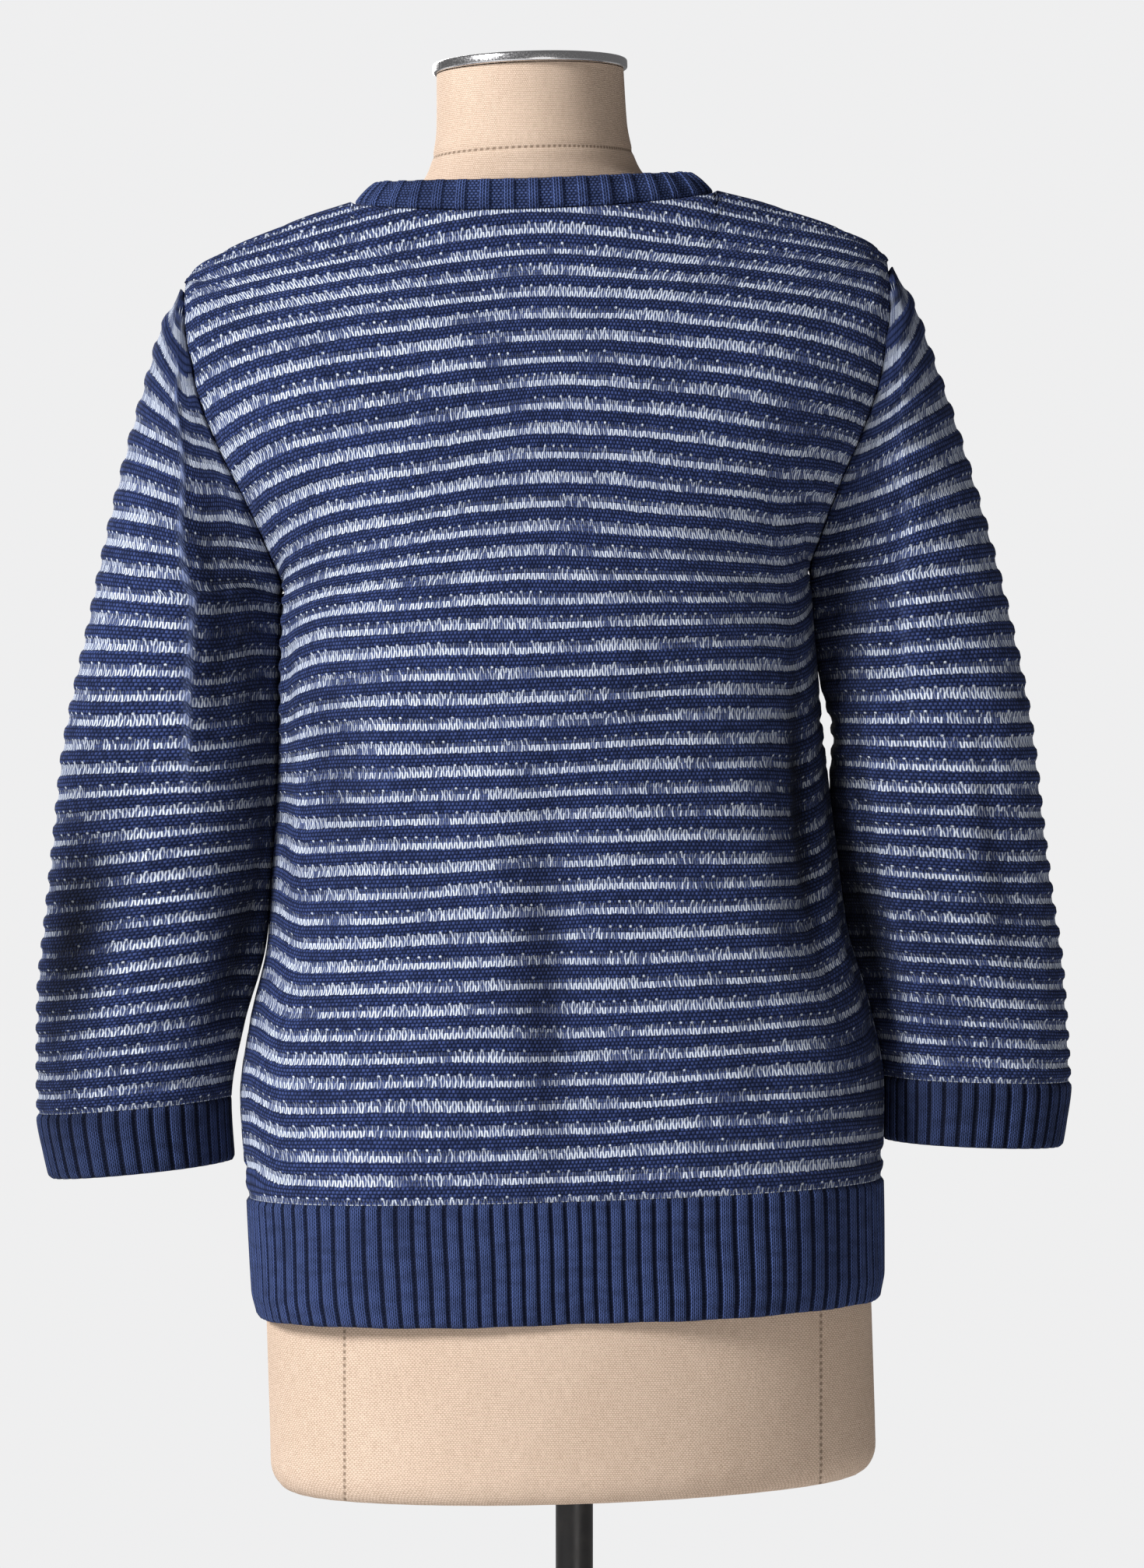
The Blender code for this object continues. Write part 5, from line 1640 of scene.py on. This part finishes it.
# Painted light and shade on each purl lump, with a random tone for each lump
lit = draw.times(purl["Lump"], draw.scaled(purl["Tone"], 0.9, 0.50))
tone = draw.times(lit, draw.smooth(fuzz["Patch"], 0.25, 0.75, 0.75, 1.2))
navy = draw.mix(tone, NAVY_DARK, NAVY_LIT)
ground = draw.mix(near, navy, YARN_SHADE)
colour = draw.mix(white, ground, YARN_WHITE)
colour = draw.mix(speck, colour, YARN_WHITE)
pulled = draw.times(stretch, draw.scaled(inside, 0.45, 0.35))
colour = draw.mix(pulled, colour, YARN_STRETCHED)
fibre_and_painted_shade = draw.smooth(fuzz["Fibre"], 0.3, 0.7, 0.82, 1.12)
# Painted shade: the stored shade darkens the whole colour, on top of the fibre noise
fibre_and_painted_shade = draw.times(fibre_and_painted_shade, draw.minus(1.0, painted_shade))
draw.feed(shader["Base Color"], draw.mix(1.0, colour, draw.vector(fibre_and_painted_shade, fibre_and_painted_shade, fibre_and_painted_shade), "MULTIPLY"))
plain_height = draw.times(draw.times(leg, inside), 0.9)
purl_height = draw.times(purl["Lump"], draw.minus(1.0, inside))
raised = draw.math("MAXIMUM", plain_height, purl_height)
raised = draw.plus(raised, draw.times(speck, 0.5))
raised = draw.scaled(fuzz["Fibre"], 0.30, raised)
raised = draw.times(raised, draw.scaled(stretch, -0.6, 1.0))
bump = draw.bump(0.8, 0.0012, raised)
draw.feed(shader["Normal"], bump)

# %% [markdown]
# ## The ribs' material
#
# The same V stitches in plain navy: so many to each rib, with a groove between ribs. The colour
# runs between RIB_DARK and RIB_LIT, lit and shaded copies of one navy: the stitch legs are painted
# lit, and the groove between three-stitch ribs is painted in shade. The neckband has two plain
# stitches on a purl ground, so the shares of the rib differ.

# %% Ribbed knit
# Lit and shaded copies of one navy, for painted light and shade
RIB_DARK = (0.0030, 0.0055, 0.020, 1)
RIB_LIT = (0.082, 0.128, 0.335, 1)
RIB_LEG_WIDTH = 0.17
RIB_PURL_ROWS = 1.3


def rib_material(name, first, last, stitches, ground_tone):
    """Navy ribs: plain stitches between two shares of each rib, purl outside them."""
    material, draw, shader = new_material(name, 0.95, 0.04, (0.55, 0.65, 1.0, 1), 0.12)
    u, v, _ = draw.split(draw.stitches())
    fuzz = use_group(draw, yarn)
    t = draw.fraction(u)
    wale = draw.times(draw.math("DIVIDE", draw.minus(t, first), last - first), float(stitches))
    inputs = {"Wale": wale, "Height": draw.fraction(v), "Width": RIB_LEG_WIDTH}
    leg = use_group(draw, plain_stitch, inputs)["Leg"]
    up_side = draw.smooth(t, first - 0.05, first + 0.02)
    down_side = draw.smooth(t, last - 0.02, last + 0.05, 1.0, 0.0)
    on_rib = draw.times(up_side, down_side)
    purl_wale = draw.times(u, float(stitches) / (last - first))
    purl = use_group(draw, purl_bump, {"Wale": purl_wale, "Row": draw.times(v, RIB_PURL_ROWS)})
    # Painted shade: a low ground tone paints the purl groove between ribs nearly as dark as RIB_DARK
    ground = draw.times(purl["Lump"], ground_tone)
    # Painted light on the stitch legs
    stitch = draw.scaled(leg, 0.88, 0.10)
    slow = draw.noise(draw.vector(draw.times(u, 0.6), draw.times(v, 0.35)), 1.0, 2.0)
    row_tone = draw.smooth(slow, 0.3, 0.7, 0.72, 1.18)
    off_rib = draw.minus(1.0, on_rib)
    tone = draw.plus(draw.times(on_rib, stitch), draw.times(off_rib, ground))
    tone = draw.times(draw.times(tone, row_tone), draw.smooth(fuzz["Patch"], 0.25, 0.75, 0.8, 1.15))
    # Painted shade: the stored shade darkens the rib's colour
    painted_shade = draw.stored("painted_shade")
    fibre_and_painted_shade = draw.times(draw.smooth(fuzz["Fibre"], 0.3, 0.7, 0.8, 1.15), draw.minus(1.0, painted_shade))
    colour = draw.mix(1.0, draw.mix(tone, RIB_DARK, RIB_LIT), draw.vector(fibre_and_painted_shade, fibre_and_painted_shade, fibre_and_painted_shade), "MULTIPLY")
    draw.feed(shader["Base Color"], colour)
    purl_height = draw.times(off_rib, draw.times(purl["Lump"], 0.6))
    raised = draw.plus(draw.times(on_rib, leg), purl_height)
    raised = draw.scaled(fuzz["Fibre"], 0.30, raised)
    bump = draw.bump(0.85, 0.0012, raised)
    draw.feed(shader["Normal"], bump)
    return material


three_rib = rib_material("navy_three_rib", 0.13, 0.87, 3, 0.08)
neck_pair = rib_material("navy_neck_rib", 0.27, 0.73, 2, 0.85)

# %% [markdown]
# ## Linen, metal and plastic
#
# Linen is a plain weave with uneven threads, so fine noise is drawn out along each of
# its two ways. Its seams are thin lines with a dash for each machine stitch. The metals
# and the plastic get faint wear instead: brushed rings, dust and handling marks.

# %% Linen cover
LINEN = (0.780, 0.618, 0.496, 1)
LINEN_DARK = (0.430, 0.310, 0.220, 1)
LINEN_SEAM = (0.16, 0.11, 0.075, 1)
MEAN_RADIUS = 0.15
THREAD_PITCH = 0.00110
SEAMS_X = (0.130, -0.140)

linen, draw, shader = new_material("linen_cover_woven", 0.92, 0.0, (1, 1, 1, 1), 0.15)
x, y, z = draw.split(draw.place())
arc = draw.times(draw.math("ARCTAN2", y, x), MEAN_RADIUS)
warp = draw.noise(draw.vector(draw.times(arc, 1000.0), draw.times(z, 120.0)), 1.0, 1.0)
weft = draw.noise(draw.vector(draw.times(arc, 150.0), draw.times(z, 1000.0), 4.0), 1.0, 1.0)
slub = draw.times(draw.plus(warp, weft), 0.5)
wobble = draw.noise(draw.vector(draw.times(arc, 90.0), draw.times(z, 90.0), 2.0), 1.0, 2.0)
pick = draw.scaled(wobble, 0.8, draw.times(z, 1 / THREAD_PITCH))
half = draw.times(draw.math("PINGPONG", draw.whole(pick), 1.0), 0.5)
end = draw.scaled(arc, 0.5 / THREAD_PITCH, draw.scaled(wobble, 1.5, half))
end = draw.fraction(end)
end_round = draw.math("SINE", draw.times(end, math.pi))
pick_round = draw.math("SINE", draw.times(draw.fraction(pick), math.pi))
knot = draw.times(end_round, pick_round)
# Painted shade in the weave: the threads' crossings are lighter and the gaps between them darker; the slubs
# and the broad patches are the linen's own uneven tone
weave = draw.scaled(draw.math("POWER", knot, 0.6), 0.34, draw.scaled(slub, 0.38, 0.10))
broad = draw.noise(draw.vector(draw.times(arc, 14.0), draw.times(z, 14.0), 7.0), 1.0, 3.0)
tone = draw.plus(draw.smooth(weave, 0.30, 0.66, 0.0, 0.85), draw.smooth(broad, 0.3, 0.7, 0.05, 0.15))
cloth = draw.mix(tone, LINEN_DARK, LINEN)
dash = draw.smooth(draw.size(draw.minus(draw.fraction(draw.times(z, 260.0)), 0.5)), 0.18, 0.30, 1.0, 0.25)
line = 0.0
for seam_x in SEAMS_X:
    away = draw.size(draw.minus(x, seam_x))
    line = draw.math("MAXIMUM", draw.smooth(away, 0.0004, 0.0012, 1.0, 0.0), line)
low = draw.smooth(z, 1.0, 1.1, 1.0, 0.0)
seam = draw.times(draw.times(line, dash), low)
tilt = draw.scaled(x, math.tan(math.radians(LEAN_DEG)), z)
neck_line = draw.smooth(draw.size(draw.minus(tilt, NECK_SEAM_Z - 0.0003)), 0.0003, 0.0012, 0.80, 0.0)
along_neck = draw.size(draw.minus(draw.fraction(draw.times(arc, 125.0)), 0.5))
neck_line = draw.times(neck_line, draw.smooth(along_neck, 0.20, 0.32, 1.0, 0.35))
mark = draw.math("MAXIMUM", draw.times(seam, 0.75), neck_line)
draw.feed(shader["Base Color"], draw.mix(mark, cloth, LINEN_SEAM))
height = draw.minus(weave, draw.times(draw.math("MAXIMUM", line, neck_line), 0.8))
draw.feed(shader["Normal"], draw.bump(0.5, 0.0006, height))

# %% Chrome, black metal and plastic
chrome, draw, shader = new_material("brushed_chrome", 0.2)
shader["Metallic"].default_value = 1.0
x, y, z = draw.split(draw.place())
radius = draw.math("SQRT", draw.plus(draw.math("POWER", x, 2.0), draw.math("POWER", y, 2.0)))
brushed = draw.noise(draw.vector(draw.times(radius, 3000.0), draw.times(z, 900.0)), 1.0, 2.0)
draw.feed(shader["Base Color"], draw.mix(brushed, (0.62, 0.62, 0.63, 1), (0.82, 0.82, 0.83, 1)))
draw.feed(shader["Roughness"], draw.smooth(brushed, 0.3, 0.7, 0.14, 0.30))

satin, draw, shader = new_material("black_satin_metal", 0.4)
spot = draw.place()
dust = draw.noise(spot, 40.0, 4.0, 0.65)
grain = draw.noise(spot, 1800.0, 2.0)
dusty = draw.smooth(dust, 0.45, 0.75)
draw.feed(shader["Base Color"], draw.mix(dusty, (0.010, 0.010, 0.011, 1), (0.028, 0.027, 0.026, 1)))
draw.feed(shader["Roughness"], draw.smooth(dust, 0.3, 0.7, 0.30, 0.48))
draw.feed(shader["Normal"], draw.bump(0.15, 0.0002, grain))

plastic, draw, shader = new_material("navy_button_plastic", 0.3)
spot = draw.place()
swirl = draw.noise(spot, 160.0, 4.0, 0.6)
worn = draw.smooth(swirl, 0.4, 0.7)
draw.feed(shader["Base Color"], draw.mix(worn, (0.012, 0.018, 0.050, 1), (0.045, 0.060, 0.130, 1)))
draw.feed(shader["Roughness"], draw.smooth(swirl, 0.3, 0.7, 0.22, 0.38))

# Painted shade for the button holes
hole_shade, draw, shader = new_material("button_hole_painted_shade", 0.8)
shade = draw.noise(draw.place(), 900.0, 2.0)
draw.feed(shader["Base Color"], draw.mix(shade, (0.002, 0.002, 0.004, 1), (0.008, 0.010, 0.020, 1)))
print("materials:", [m.name for m in bpy.data.materials if m.use_nodes])

# %% [markdown]
# ## Dress the frame
#
# Each piece takes its material, stands for its solids and rides on the root.
# A sheet's flat size is the cut that it was knitted to: its rows and wales laid flat.

# %% Pieces and cuts
def dress(thing, material, slot, *nodes):
    """Gives a piece its material and ties it to the frame."""
    thing.data.materials.clear()
    thing.data.materials.append(material)
    if nodes:
        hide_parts(*nodes)
    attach(thing, "root")


dress(back, knit, "knit", "back")
dress(front_left, knit, "knit", "front_left")
dress(front_right, knit, "knit", "front_right")
dress(sleeve_left, knit, "knit", "sleeve_left")
dress(sleeve_right, knit, "knit", "sleeve_right")
dress(cuff_left, three_rib, "rib", "cuff_left")
dress(cuff_right, three_rib, "rib", "cuff_right")
dress(hem_back, three_rib, "rib", "hem_rib_back")
dress(hem_left, three_rib, "rib", "hem_rib_front_left")
dress(hem_right, three_rib, "rib", "hem_rib_front_right")
dress(neck_rib, neck_pair, "rib", "neckband")
dress(band_left, three_rib, "rib", "band_left")
dress(band_right, three_rib, "rib", "band_right")
dress(form, linen, "cover", "form_body")
dress(cap, chrome, "cap", "neck_cap")
dress(pole, satin, "stand", "pole")
dress(base, satin, "stand", "base")
for k, (disc, hole_shade_discs) in enumerate(buttons):
    dress(disc, plastic, "button", f"button_{k + 1}")
    for shade_disc in hole_shade_discs:
        dress(shade_disc, hole_shade, "button")


def shell_area(thing):
    """Half the area of a closed shell, which is the cloth's own area."""
    areas = np.empty(len(thing.data.polygons))
    thing.data.polygons.foreach_get("area", areas)
    return float(areas.sum()) / 2


cuts = {
    back: ((0.420, 0.600), [form]),
    front_left: ((0.205, 0.590), [form]),
    front_right: ((0.205, 0.590), [form]),
    sleeve_left: ((0.300, 0.460), [back, front_left]),
    sleeve_right: ((0.300, 0.460), [back, front_right]),
    cuff_left: ((0.310, 0.040), [sleeve_left]),
    cuff_right: ((0.310, 0.040), [sleeve_right]),
    hem_back: ((0.480, 0.070), [back]),
    hem_left: ((0.270, 0.070), [front_left]),
    hem_right: ((0.270, 0.070), [front_right]),
    neck_rib: ((0.540, 0.022), [back, front_left, front_right]),
    band_left: ((0.030, 0.580), [front_left]),
    band_right: ((0.030, 0.580), [front_right]),
}
for thing, (flat, under) in cuts.items():
    print(thing.name, "flat:", flat, "share:", round(shell_area(thing) / (flat[0] * flat[1]), 3))

# %% [markdown]
# ## Floor, light and camera
#
# The photograph has a plain near-white backdrop, a large soft light high on the left and little
# fill on the right. A third light stands before the front, which the photograph doesn't show.
# The camera stands 3.2 m behind the form, level with the waist.

# %% Studio
FLOOR_X = 3.0
FLOOR_Y = 3.4
FLOOR_Z = -0.001
CAMERA_PLACE = (0.00135, 3.2, 1.0375)
CAMERA_LENS_MM = 127.1
CAMERA_SENSOR_MM = 36.0
CAMERA_DOWN_DEG = 0.62

floor_mesh = bpy.data.meshes.new("studio_floor")
corners = [(x * FLOOR_X, y * FLOOR_Y, FLOOR_Z) for x, y in ((-1, -1), (1, -1), (1, 1), (-1, 1))]
floor_mesh.from_pydata(corners, [], [(0, 1, 2, 3)])
floor = bpy.data.objects.new("studio_floor", floor_mesh)
bpy.context.scene.collection.objects.link(floor)
paper, draw, shader = new_material("paper_floor", 0.9)
mottle = draw.noise(draw.place(), 3.0, 3.0)
draw.feed(shader["Base Color"], draw.mix(mottle, (0.76, 0.76, 0.76, 1), (0.82, 0.82, 0.82, 1)))
floor_mesh.materials.append(paper)
floor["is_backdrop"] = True

world = bpy.context.scene.world or bpy.data.worlds.new("Studio")
bpy.context.scene.world = world
world.use_nodes = True
world.node_tree.nodes.clear()
draw = Sketch(world.node_tree)
seen = draw.add("ShaderNodeLightPath").outputs["Is Camera Ray"]
glow = draw.add("ShaderNodeBackground", {"Color": (0.98, 0.97, 0.98, 1), "Strength": 0.15})
backdrop = draw.add("ShaderNodeBackground", {"Color": (0.862, 0.862, 0.866, 1), "Strength": 1.0})
blend = draw.add("ShaderNodeMixShader", {0: seen, 1: glow.outputs[0], 2: backdrop.outputs[0]})
draw.add("ShaderNodeOutputWorld", {0: blend.outputs[0]})


def soft_light(name, spot, target, size, power, colour):
    """Adds a square area light at a spot, turned towards a target."""
    light = bpy.data.lights.new(name, "AREA")
    light.size = size
    light.energy = power
    light.color = colour
    lamp = bpy.data.objects.new(name, light)
    lamp.location = spot
    way = Vector(target) - Vector(spot)
    lamp.rotation_euler = way.to_track_quat("-Z", "Y").to_euler()
    bpy.context.scene.collection.objects.link(lamp)


soft_light("key", (2.85, 2.10, 2.7), (0.0, 0.0, 1.05), 1.1, 190.0, (1.0, 0.99, 0.995))
soft_light("front", (0.9, -2.7, 1.9), (0.0, 0.0, 1.05), 1.4, 60.0, (1.0, 0.98, 0.96))
soft_light("fill", (-0.9, 3.2, 0.35), (0.0, 0.0, 0.75), 1.4, 22.0, (1.0, 0.96, 0.93))

camera_data = bpy.data.cameras.new("photo_camera")
camera_data.lens = CAMERA_LENS_MM
camera_data.sensor_width = CAMERA_SENSOR_MM
camera = bpy.data.objects.new("photo_camera", camera_data)
camera.location = CAMERA_PLACE
camera.rotation_euler = (math.radians(90 - CAMERA_DOWN_DEG), 0.0, math.pi)
bpy.context.scene.collection.objects.link(camera)
bpy.context.scene.camera = camera
bpy.context.scene.view_settings.view_transform = "Standard"
bpy.context.scene.view_settings.look = "None"
print("camera:", tuple(camera.location), "lens", camera_data.lens)

# %% Size and finish
low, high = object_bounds()
print("shown box:", [round(v, 4) for v in (*low, *high)])
